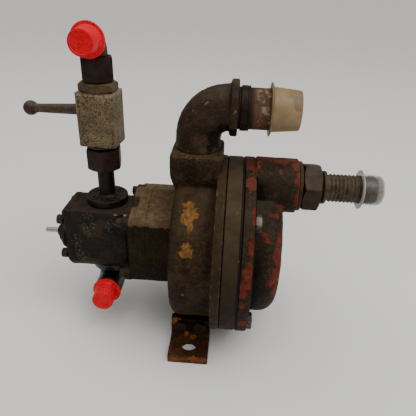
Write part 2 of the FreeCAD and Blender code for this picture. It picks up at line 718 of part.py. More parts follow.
def motor_through_bolts():
    face = MOTOR_X0 - END_COVER
    length = ADAPTER_X0 - 2 - face
    bolts = [cap_screw(6.5, 8.0, 4.0, length, V(face, y, z), V(-1, 0, 0)) for y, z in through_bolt_places()]
    return Part.makeCompound(bolts)


def bearing_block(x0, x1):
    """Figure-eight block that carries both gear shafts."""
    lobes = [shaft_rod(GEAR_BORE_R - 0.1, x0, x1, y, 0) for y in (0, GEAR_CENTRES)]
    half = GEAR_CENTRES / 2
    waist = [block(x0, x1, half - 4, half + 4, -7, 7)]
    return join(lobes + waist).cut(gear_bores(JOURNAL_R + RUN_FIT, x0 - 1, x1 + 1))


def front_bearing_block():
    return bearing_block(MOTOR_X1 - BLOCK_WIDTH, MOTOR_X1)


def rear_bearing_block():
    return bearing_block(MOTOR_X0, MOTOR_X0 + BLOCK_WIDTH)


def gear_blank():
    """Spur gear outline with involute flanks, one tooth pointing along +Y."""
    pitch_r = GEAR_CENTRES / 2
    base_r = pitch_r * math.cos(math.radians(PRESSURE_ANGLE))
    half_pitch = math.pi / (2 * GEAR_TEETH) - GEAR_BACKLASH / (4 * pitch_r)

    def involute(r):
        a = math.acos(min(1.0, base_r / r))
        return math.tan(a) - a

    def polar(r, a):
        return V(0, r * math.cos(a), r * math.sin(a))

    half_at_base = half_pitch + involute(pitch_r)
    radii = [base_r + (GEAR_TIP_R - base_r) * i / 3 for i in range(4)]
    edges = []
    for tooth in range(GEAR_TEETH):
        middle = 2 * math.pi * tooth / GEAR_TEETH
        rising = [polar(r, middle - half_at_base + involute(r)) for r in radii]
        falling = [polar(r, middle + half_at_base - involute(r)) for r in reversed(radii)]
        foot_in = polar(GEAR_ROOT_R, middle - half_at_base)
        foot_out = polar(GEAR_ROOT_R, middle + half_at_base)
        next_foot = polar(GEAR_ROOT_R, middle + 2 * math.pi / GEAR_TEETH - half_at_base)
        edges.append(Part.makeLine(foot_in, rising[0]))
        for flank in (rising, falling):
            curve = Part.BSplineCurve()
            curve.interpolate(flank)
            edges.append(curve.toShape())
            if flank is rising:
                edges.append(Part.Arc(rising[-1], polar(GEAR_TIP_R, middle), falling[0]).toShape())
        edges.append(Part.makeLine(falling[-1], foot_out))
        valley = polar(GEAR_ROOT_R, middle + math.pi / GEAR_TEETH)
        edges.append(Part.Arc(foot_out, valley, next_foot).toShape())
    return Part.Face(Part.Wire(edges))


def gear():
    teeth = gear_blank().extrude(V(GEAR_X1 - GEAR_X0, 0, 0))
    teeth.translate(V(GEAR_X0, 0, 0))
    return teeth


def drive_gear_shaft():
    end = (COUPLING_X0 + COUPLING_X1 - SPIDER_WIDTH) / 2 + 2
    x_rear = MOTOR_X0 + 0.3
    x_boss = MOTOR_X0 - END_COVER - BOSS_STEPS[-1][0] - STUB_SHOULDER
    profile = [(STUB_END, 0), (STUB_END, STUB_R - 0.8), (STUB_END + 0.8, STUB_R), (x_boss, STUB_R),
               (x_boss, STUB_COVER_R), (x_rear, STUB_COVER_R), (x_rear, JOURNAL_R), (MOTOR_X1 + 2, JOURNAL_R),
               (MOTOR_X1 + 2, DRIVE_R), (end, DRIVE_R), (end, 0)]
    return join([turned(profile, V(0, 0, 0), AXIS_X), gear()])


def idler_gear_shaft():
    journals = shaft_rod(JOURNAL_R, MOTOR_X0 + 0.3, MOTOR_X1 - 0.3)
    wheel = join([journals, gear()])
    wheel.translate(V(0, GEAR_CENTRES, 0))
    return wheel


def motor_shaft_seal():
    return pipe(12.0, DRIVE_R + RUN_FIT, V(MOTOR_X1 + 4, 0, 0), V(MOTOR_X1 + 10, 0, 0))


# Oil ports of the motor

def port_flange(side):
    """Round flange with counterbored screw holes and a seat for its sealing ring."""
    low = V(PORT_X, MOTOR_Y, side * MOTOR_HALF_HEIGHT)
    axis = AXIS_Z * side
    flange = rod(PORT_FLANGE_R, low, low + axis * PORT_FLANGE)
    holes = []
    for x, y in port_screw_places():
        foot = V(x, y, low.z)
        holes.append(rod(3.3, foot - axis, foot + axis * (PORT_FLANGE + 1)))
        holes.append(rod(5.4, foot + axis * 5, foot + axis * (PORT_FLANGE + 1)))
    holes.append(pipe(14.0, 11.5, low - axis, low + axis * 2.0))
    return flange, holes


def port_screws(side):
    axis = AXIS_Z * side
    seat_z = side * (MOTOR_HALF_HEIGHT + 5)
    screws = [cap_screw(5.0, 6.0, 2.9, 17.0, V(x, y, seat_z), axis) for x, y in port_screw_places()]
    return Part.makeCompound(screws)


def port_seal(side):
    """Rubber ring squeezed square in the flange's groove."""
    z = side * (MOTOR_HALF_HEIGHT + 1.0)
    return pipe(13.9, 11.6, V(PORT_X, MOTOR_Y, z - 0.9), V(PORT_X, MOTOR_Y, z + 0.9))


def port_pipe():
    """Flange with the welded upright pipe and its cone end."""
    flange, holes = port_flange(1)
    x, y = PORT_X, MOTOR_Y
    top = LOWER_NUT_Z0 + 12
    z0 = MOTOR_HALF_HEIGHT + PORT_FLANGE
    riser = turned([(z0 - 1, 0), (z0 - 1, OIL_PIPE_R + 3), (z0, OIL_PIPE_R + 3), (z0 + 3, OIL_PIPE_R),
                    (top - 8, OIL_PIPE_R), (top - 8, 16.0), (top - 5, 16.0), (top, OIL_PIPE_R - 1), (top, 0)],
                   V(x, y, 0), AXIS_Z)
    bore = rod(PORT_BORE_R, V(x, y, MOTOR_HALF_HEIGHT - 1), V(x, y, top + 1))
    return join([flange, riser]).cut(holes + [bore])


def low_elbow():
    """Flange and thick bend under the motor, with a threaded mouth to the front."""
    flange, holes = port_flange(-1)
    x, y = PORT_X, MOTOR_Y
    start = V(x, y, -MOTOR_HALF_HEIGHT - PORT_FLANGE + 1)
    corner = V(x, y, LOW_ELBOW_Z)
    shoulder = V(x, LOW_MOUTH_Y + 15, LOW_ELBOW_Z)
    mouth = V(x, LOW_MOUTH_Y, LOW_ELBOW_Z)
    outside = bend(LOW_ELBOW_R, (start, corner, shoulder), 20.0)
    spigot = rod(OIL_THREAD_R, shoulder, mouth)
    elbow = join([flange, outside, spigot])
    inner = bend(OIL_BORE_R, (V(x, y, -MOTOR_HALF_HEIGHT + 1), corner, mouth - V(0, 1, 0)), 20.0)
    return elbow.cut(holes + [inner])


# Block ball valve

def valve_body():
    x, y, z = PORT_X, MOTOR_Y, VALVE_Z
    body = block(x - VALVE_WIDTH / 2, x + VALVE_WIDTH / 2, y - VALVE_DEPTH / 2, y + VALVE_DEPTH / 2,
                 z - VALVE_HEIGHT / 2, z + VALVE_HEIGHT / 2)
    body = body.makeChamfer(VALVE_EDGE, [e for e in body.Edges if is_along(e, AXIS_Z)])
    cavity = rod(CAVITY_R, V(x, y, z - VALVE_HEIGHT), V(x, y, z + VALVE_HEIGHT))
    back = y + VALVE_DEPTH / 2
    stem_hole = rod(STEM_R + RUN_FIT, V(x, y, z), V(x, back + 1, z))
    return body.cut([cavity, stem_hole])


def valve_end(side, flange_af, flange, spigot_end):
    """Screwed-in end piece: plug inside the block, hexagon outside, spigot for the union nut."""
    x, y = PORT_X, MOTOR_Y
    face = VALVE_Z + side * VALVE_HEIGHT / 2
    axis = AXIS_Z * side
    inner = V(x, y, VALVE_Z + side * (BALL_R + 2.5))
    seat = V(x, y, face)
    collar = seat + axis * flange
    tip = V(x, y, spigot_end)
    parts = [rod(CAVITY_R - THREAD_FIT, inner, seat), hexagon(flange_af, seat, collar, 30.0),
             rod(SPIGOT_R, collar - axis, tip)]
    through = rod(BALL_BORE_R, inner - axis, tip + axis)
    cone = turned([(0, 0), (0, OIL_PIPE_R), (6, BALL_BORE_R - 1), (6, 0)], tip, axis * -1)
    return join(parts).cut([through, cone])


def upper_valve_end():
    return valve_end(1, RING_HEX_AF, RING_HEX, VALVE_Z + VALVE_HEIGHT / 2 + RING_HEX + 14)


def lower_valve_end():
    return valve_end(-1, LOWER_NUT_AF, 3.0, LOWER_NUT_Z0 + 12.3)


def valve_seat(side):
    """Plastic ring between an end piece and the ball."""
    x, y = PORT_X, MOTOR_Y
    far = VALVE_Z + side * (BALL_R + 2.5)
    near = VALVE_Z + side * (BALL_R - 3.0)
    ring = pipe(CAVITY_R - THREAD_FIT, BALL_BORE_R + 0.5, V(x, y, near), V(x, y, far))
    return ring.cut(Part.makeSphere(BALL_R + BALL_FIT, V(x, y, VALVE_Z), AXIS_X))


def valve_seats():
    return Part.makeCompound([valve_seat(-1), valve_seat(1)])


def valve_ball():
    """Ball shown shut: its bore lies across the line, and a slot at the back takes the stem."""
    centre = V(PORT_X, MOTOR_Y, VALVE_Z)
    ball = Part.makeSphere(BALL_R, centre, AXIS_X)
    bore = rod(BALL_BORE_R, centre - V(BALL_R + 1, 0, 0), centre + V(BALL_R + 1, 0, 0))
    slot = block(PORT_X - BALL_R, PORT_X + BALL_R, MOTOR_Y + BALL_R - 4, MOTOR_Y + BALL_R + 1,
                 VALVE_Z - 2.6, VALVE_Z + 2.6)
    return ball.cut([bore, slot])


def valve_back():
    return MOTOR_Y + VALVE_DEPTH / 2


def valve_stem():
    x, z = PORT_X, VALVE_Z
    tongue_y = MOTOR_Y + BALL_R - 3.8
    stem = rod(STEM_R, V(x, MOTOR_Y + BALL_R + 0.6, z), V(x, valve_back() + GLAND + LEVER_PLATE + 1, z))
    tongue = block(x - 5, x + 5, tongue_y, MOTOR_Y + BALL_R + 1, z - 2.5, z + 2.5)
    thread = rod(4.0, V(x, valve_back() + GLAND + LEVER_PLATE, z), V(x, valve_back() + GLAND + LEVER_PLATE + 9, z))
    return join([stem, tongue, thread])


def valve_gland():
    x, z = PORT_X, VALVE_Z
    nut = hexagon(GLAND_AF, V(x, valve_back(), z), V(x, valve_back() + GLAND - 0.5, z), 0.0, False)
    return nut.cut(rod(STEM_R + RUN_FIT, V(x, valve_back() - 1, z), V(x, valve_back() + GLAND, z)))


def valve_lever():
    """Hub and tapered rod with a ball end, pointing away from the pump when the valve is shut."""
    x, z = PORT_X, VALVE_Z
    y0 = valve_back() + GLAND
    middle = y0 + LEVER_PLATE / 2
    hub = rod(LEVER_HUB_R, V(x, y0, z), V(x, y0 + LEVER_PLATE, z))
    rod_length = LEVER_REACH - LEVER_HUB_R + 3
    taper = turned([(0, 0), (0, LEVER_ROOT_R), (rod_length, LEVER_TIP_R), (rod_length, 0)],
                   V(x - LEVER_HUB_R + 3, middle, z), V(-1, 0, 0))
    flat = block(x - LEVER_REACH, x, y0, y0 + 2 * LEVER_PLATE, z - LEVER_HUB_R, z + LEVER_HUB_R)
    knob = Part.makeSphere(LEVER_BALL_R, V(x - LEVER_REACH, middle, z), AXIS_X)
    handle = join([hub, taper.common(flat), knob])
    return handle.cut(rod(STEM_R, V(x, y0 - 1, z), V(x, y0 + LEVER_PLATE + 1, z)))


def lever_nut():
    x, z = PORT_X, VALVE_Z
    y0 = valve_back() + GLAND + LEVER_PLATE + 1
    nut = hexagon(13.0, V(x, y0, z), V(x, y0 + 6.5, z), 0.0, False)
    return nut.cut(rod(4.0, V(x, y0 - 1, z), V(x, y0 + 8, z)))


# Union nuts and the swivel elbow above the valve

def union_nut(flats, z0, z1, lip_r, thread_r, lip_at_top, turn):
    """Nut that pulls a collar onto the valve's spigot; its lip closes round the pipe."""
    x, y = PORT_X, MOTOR_Y
    nut = hexagon(flats, V(x, y, z0), V(x, y, z1), turn)
    through = rod(lip_r, V(x, y, z0 - 1), V(x, y, z1 + 1))
    if lip_at_top:
        wide = rod(thread_r, V(x, y, z0 - 1), V(x, y, z1 - 8))
    else:
        wide = rod(thread_r, V(x, y, z0 + 3), V(x, y, z1 + 1))
    return nut.cut([through, wide])


def lower_union_nut():
    return union_nut(LOWER_NUT_AF, LOWER_NUT_Z0, LOWER_NUT_Z1, OIL_PIPE_R + 0.2, 16.2, False, 10.0)


def upper_nut_z0():
    return VALVE_Z + VALVE_HEIGHT / 2 + RING_HEX


def upper_union_nut():
    return union_nut(UPPER_NUT_AF, upper_nut_z0(), UPPER_NUT_Z1, 12.2, 15.3, True, 20.0)


def top_elbow():
    """Swivel elbow: collared tail in the union nut, forged bend, threaded mouth to the front."""
    x, y = PORT_X, MOTOR_Y
    tail = V(x, y, upper_nut_z0() + 14.3)
    corner = V(x, y, TOP_ELBOW_Z)
    shoulder = V(x, TOP_MOUTH_Y + 16, TOP_ELBOW_Z)
    mouth = V(x, TOP_MOUTH_Y, TOP_ELBOW_Z)
    collar = turned([(tail.z, 0), (tail.z, 12.0), (tail.z + 4, 15.0), (UPPER_NUT_Z1 - 8.2, 15.0),
                     (UPPER_NUT_Z1 - 8.2, 12.0), (UPPER_NUT_Z1 + 2, 12.0), (UPPER_NUT_Z1 + 2, 0)],
                    V(x, y, 0), AXIS_Z)
    outside = bend(TOP_ELBOW_R, (V(x, y, UPPER_NUT_Z1 + 0.5), corner, shoulder), 18.0)
    hex_mouth = hexagon(2 * TOP_ELBOW_R + 2, shoulder + V(0, 4, 0), shoulder - V(0, 2.7, 0))
    spigot = rod(OIL_THREAD_R, shoulder, mouth)
    inner = bend(OIL_BORE_R, (tail - V(0, 0, 1), corner, mouth - V(0, 1, 0)), 18.0)
    return join([collar, outside, hex_mouth, spigot]).cut(inner)


# Plastic caps

def tapered_cap(mouth, axis, thread_r, grip_length, length, lip_r, end_r):
    """Push-on cap: flared lip, tapered wall and a closed end."""
    grip = thread_r + CAP_FIT
    outer = grip + CAP_WALL
    profile = [(0, grip), (0, lip_r), (2.0, lip_r - 1), (4.0, outer), (length - 1, end_r), (length, end_r - 1),
               (length, 0), (length - CAP_WALL, 0), (length - CAP_WALL, end_r - CAP_WALL),
               (grip_length + 1, grip)]
    return turned(profile, mouth, axis)


def red_cap(mouth_y, z):
    return tapered_cap(V(PORT_X, mouth_y + CAP_GRIP, z), V(0, -1, 0), OIL_THREAD_R, CAP_GRIP, CAP_LENGTH,
                       CAP_LIP_R, CAP_END_R)


def red_cap_top():
    return red_cap(TOP_MOUTH_Y, TOP_ELBOW_Z)


def red_cap_bottom():
    return red_cap(LOW_MOUTH_Y, LOW_ELBOW_Z)


def white_cap():
    return tapered_cap(V(NIPPLE_END - WHITE_CAP_GRIP, 0, ELBOW_Z), AXIS_X, PIPE_THREAD_R, WHITE_CAP_GRIP,
                       WHITE_CAP_LENGTH, WHITE_CAP_LIP_R, WHITE_CAP_END_R)


def clear_cap():
    """Thin soft cap on the hose tail, with a flared lip and a rounded end."""
    grip = BARB_R + CAP_FIT
    wall = CLEAR_CAP_WALL
    x0 = HOSE_TAIL_END - CLEAR_CAP_GRIP
    x1 = HOSE_TAIL_END + CLEAR_CAP_ROOM
    profile = [(x0, grip), (x0, CLEAR_CAP_LIP_R - 0.6), (x0 + 1.2, CLEAR_CAP_LIP_R),
               (x0 + 4, grip + wall + 0.6), (x1 - 7, grip + wall), (x1 - 2, grip - 2), (x1, grip - 7), (x1, 0),
               (x1 - wall, 0), (x1 - wall, grip - 8), (x1 - 3, grip - 4), (x1 - 7, grip)]
    return turned(profile, V(0, 0, INLET_Z), AXIS_X)


# Screwed fittings of the fuel side

def discharge_elbow():
    """Cast elbow screwed into the boss, with the thick band round its mouth."""
    bore = PIPE_BORE_R - 1
    arc_z = ELBOW_Z - ELBOW_BEND_R
    arc_x = BOSS_X + ELBOW_BEND_R
    start = V(BOSS_X, 0, arc_z)
    rings = [Part.Wire([Part.makeCircle(radius, start, AXIS_Z)]) for radius in (ELBOW_R, bore)]
    arc = Part.Face(rings).revolve(V(arc_x, 0, arc_z), AXIS_Y, 90)
    thread_r = PIPE_R - THREAD_FIT
    low = turned([(BOSS_TOP - 22, bore), (BOSS_TOP - 22, thread_r), (BOSS_TOP, thread_r), (BOSS_TOP, ELBOW_R),
                  (arc_z, ELBOW_R), (arc_z, bore)], V(BOSS_X, 0, 0), AXIS_Z)
    x1 = ELBOW_MOUTH_X
    x0 = x1 - ELBOW_BAND
    floor = x1 - ELBOW_SOCKET
    socket_r = PIPE_R + 2
    mouth = turned([(arc_x, bore), (arc_x, ELBOW_R), (x0, ELBOW_R), (x0 + 1.5, ELBOW_BAND_R - 0.5),
                    (x0 + 3, ELBOW_BAND_R), (x1 - 1, ELBOW_BAND_R), (x1, ELBOW_BAND_R - 1), (x1, socket_r),
                    (floor, socket_r), (floor, bore)], V(0, 0, ELBOW_Z), AXIS_X)
    return join([low, arc, mouth])


def reducer_bushing():
    """Short threaded collar between the elbow and the pipe nipple."""
    x0 = ELBOW_MOUTH_X
    inner = PIPE_THREAD_R
    start = x0 - ELBOW_SOCKET + 2
    return turned([(start, inner), (start, PIPE_R + 2 - THREAD_FIT), (x0, PIPE_R + 2 - THREAD_FIT),
                   (x0, BUSHING_R), (BUSHING_END - 1, BUSHING_R), (BUSHING_END, BUSHING_R - 1),
                   (BUSHING_END, inner)], V(0, 0, ELBOW_Z), AXIS_X)


def pipe_nipple():
    """Pipe with a thinner threaded length at each end and the bare pipe between them."""
    thread_r = PIPE_THREAD_R - THREAD_FIT
    bare_x0 = BUSHING_END + 0.5
    bare_x1 = NIPPLE_END - WHITE_CAP_GRIP - 0.5
    start = ELBOW_MOUTH_X - ELBOW_SOCKET + 3
    profile = [(start, PIPE_BORE_R), (start, thread_r), (bare_x0, thread_r), (bare_x0, PIPE_R), (bare_x1, PIPE_R),
               (bare_x1, thread_r), (NIPPLE_END, thread_r), (NIPPLE_END, PIPE_BORE_R)]
    return turned(profile, V(0, 0, ELBOW_Z), AXIS_X)


def hose_tail():
    """Hexagon fitting screwed into the inlet boss, with a bead and the rings that hold a hose."""
    x = INLET_END
    hex_x0 = x + 6
    hex_x1 = hex_x0 + 22
    profile = [(x - 24, 0), (x - 24, PIPE_R - 1), (x - 22, PIPE_R - THREAD_FIT), (x, PIPE_R - THREAD_FIT),
               (x, INLET_R - 3), (hex_x0 - 1.5, INLET_R - 3), (hex_x0 - 1.5, PIPE_R), (hex_x0, PIPE_R),
               (hex_x1, PIPE_R - 5), (hex_x1 + 3, 18.0), (hex_x1 + 4, 21.0), (hex_x1 + 8, 21.0),
               (hex_x1 + 9, BARB_ROOT_R)]
    first = HOSE_TAIL_END - BARB_COUNT * BARB_PITCH
    for i in range(BARB_COUNT):
        start = first + i * BARB_PITCH
        profile += [(start, BARB_ROOT_R), (start + 2.0, BARB_R)]
    profile += [(HOSE_TAIL_END, BARB_ROOT_R), (HOSE_TAIL_END, 0)]
    body = turned(profile, V(0, 0, INLET_Z), AXIS_X)
    grip = hexagon(HEX_INLET, V(hex_x0, 0, INLET_Z), V(hex_x1, 0, INLET_Z), 13.0)
    return join([body, grip]).cut(shaft_rod(BARB_BORE_R, x - 25, HOSE_TAIL_END + 1, 0, INLET_Z))


# Feet

def foot_bracket(side):
    """Angle iron: leg bolted to the casing pad, toe with one hole for the holding-down bolt."""
    leg_out = FOOT_LEG_OUT
    toe_end = leg_out + FOOT_TOE
    top = FOOT_LEG_TOP
    corners = [(FOOT_LEG_Y, 0), (toe_end, 0), (toe_end, FOOT_PLATE), (leg_out, FOOT_PLATE), (leg_out, top),
               (FOOT_LEG_Y, top)]
    x0 = FOOT_X - FOOT_WIDTH / 2
    points = [V(x0, side * y, z - SHAFT_HEIGHT) for y, z in corners]
    iron = Part.Face(Part.makePolygon(points + points[:1])).extrude(V(FOOT_WIDTH, 0, 0))
    root = [e for e in iron.Edges if is_along(e, AXIS_X) and abs(abs(e.CenterOfMass.y) - leg_out) < 0.1
            and abs(e.CenterOfMass.z + SHAFT_HEIGHT - FOOT_PLATE) < 0.1]
    iron = iron.makeFillet(FOOT_BEND_R, root)
    cuts = [rod(FOOT_HOLE_R, V(FOOT_X, side * FOOT_HOLE_Y, -SHAFT_HEIGHT - 1),
                V(FOOT_X, side * FOOT_HOLE_Y, FOOT_PLATE + 1 - SHAFT_HEIGHT))]
    for x, z in foot_bolt_places():
        cuts.append(rod(5.5, V(x, side * (FOOT_LEG_Y - 1), z), V(x, side * (leg_out + 1), z)))
    return iron.cut(cuts)


def foot_bolts():
    bolts = []
    for side in (-1, 1):
        for x, z in foot_bolt_places():
            seat = V(x, side * FOOT_LEG_OUT, z)
            bolts.append(hex_bolt(16.0, 6.5, 4.9, FOOT_LEG_PLATE + 15, seat, V(0, side, 0), 20.0))
    return Part.makeCompound(bolts)


NODES = {
    "volute_casing": volute_casing,
    "intermediate_ring": intermediate_ring,
    "cover_gasket": cover_gasket,
    "suction_cover": suction_cover,
    "cover_bolts": cover_bolts,
    "wear_ring": wear_ring,
    "impeller": impeller,
    "impeller_key": impeller_key,
    "impeller_nut": impeller_nut,
    "pump_shaft": pump_shaft,
    "shaft_bearing": shaft_bearing,
    "seal_seat": seal_seat,
    "seal_face": seal_face,
    "pump_coupling_hub": pump_coupling_hub,
    "coupling_spider": coupling_spider,
    "motor_coupling_hub": motor_coupling_hub,
    "adapter_housing": adapter_housing,
    "adapter_plate": adapter_plate,
    "adapter_screws": adapter_screws,
    "motor_front_flange": motor_front_flange,
    "motor_flange_screws": motor_flange_screws,
    "motor_body": motor_body,
    "motor_end_cover": motor_end_cover,
    "motor_through_bolts": motor_through_bolts,
    "front_bearing_block": front_bearing_block,
    "rear_bearing_block": rear_bearing_block,
    "drive_gear_shaft": drive_gear_shaft,
    "idler_gear_shaft": idler_gear_shaft,
    "motor_shaft_seal": motor_shaft_seal,
    "port_pipe": port_pipe,
    "top_port_screws": lambda: port_screws(1),
    "top_port_seal": lambda: port_seal(1),
    "low_elbow": low_elbow,
    "low_port_screws": lambda: port_screws(-1),
    "low_port_seal": lambda: port_seal(-1),
    "lower_union_nut": lower_union_nut,
    "lower_valve_end": lower_valve_end,
    "valve_body": valve_body,
    "valve_seats": valve_seats,
    "valve_ball": valve_ball,
    "valve_stem": valve_stem,
    "valve_gland": valve_gland,
    "valve_lever": valve_lever,
    "lever_nut": lever_nut,
    "upper_valve_end": upper_valve_end,
    "upper_union_nut": upper_union_nut,
    "top_elbow": top_elbow,
    "red_cap_top": red_cap_top,
    "red_cap_bottom": red_cap_bottom,
    "discharge_elbow": discharge_elbow,
    "reducer_bushing": reducer_bushing,
    "pipe_nipple": pipe_nipple,
    "white_cap": white_cap,
    "hose_tail": hose_tail,
    "clear_cap": clear_cap,
    "foot_front": lambda: foot_bracket(-1),
    "foot_rear": lambda: foot_bracket(1),
    "foot_bolts": foot_bolts,
}

# The block valve stands a little askew on its union nuts
ASKEW = ("lower_valve_end", "valve_body", "valve_seats", "valve_ball", "valve_stem", "valve_gland",
         "valve_lever", "lever_nut", "upper_valve_end")

os.makedirs("parts", exist_ok=True)
for name, make in NODES.items():
    shape = make()
    if name in ASKEW:
        shape.rotate(V(PORT_X, MOTOR_Y, 0), AXIS_Z, -VALVE_TURN)
    shape.translate(V(-FOOT_X, 0, SHAFT_HEIGHT))
    shape.exportStep("parts/" + name + ".step")
    print(name, len(shape.Solids), "solids", round(shape.Volume), "mm3", "valid" if shape.isValid() else "NOT VALID")
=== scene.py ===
import math

import bpy
from mathutils import Matrix, Vector, noise


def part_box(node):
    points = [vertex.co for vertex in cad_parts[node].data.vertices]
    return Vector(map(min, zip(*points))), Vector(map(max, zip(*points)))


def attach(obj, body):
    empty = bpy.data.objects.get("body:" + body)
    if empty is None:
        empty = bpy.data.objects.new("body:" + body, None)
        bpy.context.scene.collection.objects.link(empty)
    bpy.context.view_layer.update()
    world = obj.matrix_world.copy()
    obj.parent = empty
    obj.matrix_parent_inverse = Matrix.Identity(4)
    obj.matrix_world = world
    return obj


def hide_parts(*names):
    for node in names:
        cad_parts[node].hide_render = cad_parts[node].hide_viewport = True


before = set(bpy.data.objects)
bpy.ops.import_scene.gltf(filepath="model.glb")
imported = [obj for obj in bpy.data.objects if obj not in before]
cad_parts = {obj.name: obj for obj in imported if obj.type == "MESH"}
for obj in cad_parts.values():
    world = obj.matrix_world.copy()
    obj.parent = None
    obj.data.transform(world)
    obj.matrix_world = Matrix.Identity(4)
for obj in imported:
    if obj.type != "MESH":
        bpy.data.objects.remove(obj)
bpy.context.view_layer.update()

# Places that several pieces share, in millimetres: the heights of the shaft, the inlet and the outlet, and
# the upright line through the motor's ports, with the valve's stem on it.

SHAFT_Z = 135
INLET_Z = 225
OUTLET_Z = 321
PORTS_X = -123.5
MOTOR_Y = 13
STEM_Z = 297.2
UP = (0, 0, 1)
DOWN = (0, 0, -1)
TO_HOSE = (1, 0, 0)
TO_MOTOR = (-1, 0, 0)
TO_FRONT = (0, -1, 0)
TO_BACK = (0, 1, 0)


def turned(degrees, axis):
    """A turn about one of the axes."""
    return Matrix.Rotation(math.radians(degrees), 4, axis)


def metres(*values):
    """Millimetres as metres."""
    return tuple(0.001 * value for value in values)


# Camera and studio. The camera stands in front of the pump and looks down on it, a little turned and
# tilted. The pump stands on a pale floor under wide soft lights.

CAMERA_PLACE = (0.04165, -0.50245, 0.45692)
CAMERA_TURN = 3.033
CAMERA_DOWN = 28.398
CAMERA_ROLL = 2.143
view = bpy.data.cameras.new("view")
view.lens = 37.21
view.sensor_width = 36.0
camera = bpy.data.objects.new("camera", view)
camera_aim = turned(CAMERA_TURN, "Z") @ turned(90 - CAMERA_DOWN, "X")
camera.matrix_world = Matrix.Translation(CAMERA_PLACE) @ camera_aim @ turned(CAMERA_ROLL, "Z")
bpy.context.scene.collection.objects.link(camera)
bpy.context.scene.camera = camera

bpy.ops.object.select_all(action="DESELECT")
bpy.ops.mesh.primitive_plane_add(size=60.0, location=(0, 0, 0))
floor = bpy.context.object
floor.name = "floor"
pale = bpy.data.materials.new("pale_floor")
pale.use_nodes = True
pale.node_tree.nodes["Principled BSDF"].inputs["Base Color"].default_value = (0.86, 0.86, 0.85, 1)
pale.node_tree.nodes["Principled BSDF"].inputs["Roughness"].default_value = 0.9
floor.data.materials.append(pale)

sky = bpy.data.worlds.new("soft_room")
sky.use_nodes = True
sky.node_tree.nodes["Background"].inputs["Color"].default_value = (1.0, 0.97, 0.93, 1)
sky.node_tree.nodes["Background"].inputs["Strength"].default_value = 0.30
bpy.context.scene.world = sky
day = bpy.data.lights.new("day_light", "SUN")
day.energy = 1.5
day.angle = math.radians(70)
day.color = (1.0, 0.98, 0.95)
sun = bpy.data.objects.new("day_light", day)
sun.rotation_euler = Vector((-0.35, 0.4, -1.0)).to_track_quat("-Z", "Y").to_euler()
bpy.context.scene.collection.objects.link(sun)
for name, place, size, power in (("window_light", (0.9, -0.6, 1.9), 1.2, 13.0),
                                 ("ceiling_light", (-0.5, 0.4, 2.2), 2.0, 12.0)):
    panel = bpy.data.lights.new(name, "AREA")
    panel.size = size
    panel.energy = power
    light = bpy.data.objects.new(name, panel)
    light.location = place
    light.rotation_euler = (Vector((0, 0, 0.2)) - Vector(place)).to_track_quat("-Z", "Y").to_euler()
    bpy.context.scene.collection.objects.link(light)


# Volute casing. A sand casting in iron with a square discharge boss on top and pads for the feet below.
# Its olive-brown paint is dusty on top, greasy below and darkened there with painted shade, and has come
# off in two tan patches at the front.

class Tone:
    """A number or a colour on its way through a finish's nodes. Sums on it add their Math nodes."""

    def __init__(self, finish, socket):
        self.finish = finish
        self.socket = socket

    def sum(self, operation, first, second):
        return self.finish.node("ShaderNodeMath", {"operation": operation}, {0: first, 1: second})

    def __add__(self, other):
        return self.sum("ADD", self, other)

    def __radd__(self, other):
        return self.sum("ADD", other, self)

    def __sub__(self, other):
        return self.sum("SUBTRACT", self, other)

    def __rsub__(self, other):
        return self.sum("SUBTRACT", other, self)

    def __mul__(self, other):
        return self.sum("MULTIPLY", self, other)

    def __rmul__(self, other):
        return self.sum("MULTIPLY", other, self)

    def __or__(self, other):
        return self.sum("MAXIMUM", self, other)

    def ramp(self, low, high):
        """0 at low, 1 at high, smooth between them."""
        return self.finish.node("ShaderNodeMapRange", {"interpolation_type": "SMOOTHSTEP"},
                                {0: self, 1: low, 2: high, 3: 0.0, 4: 1.0})


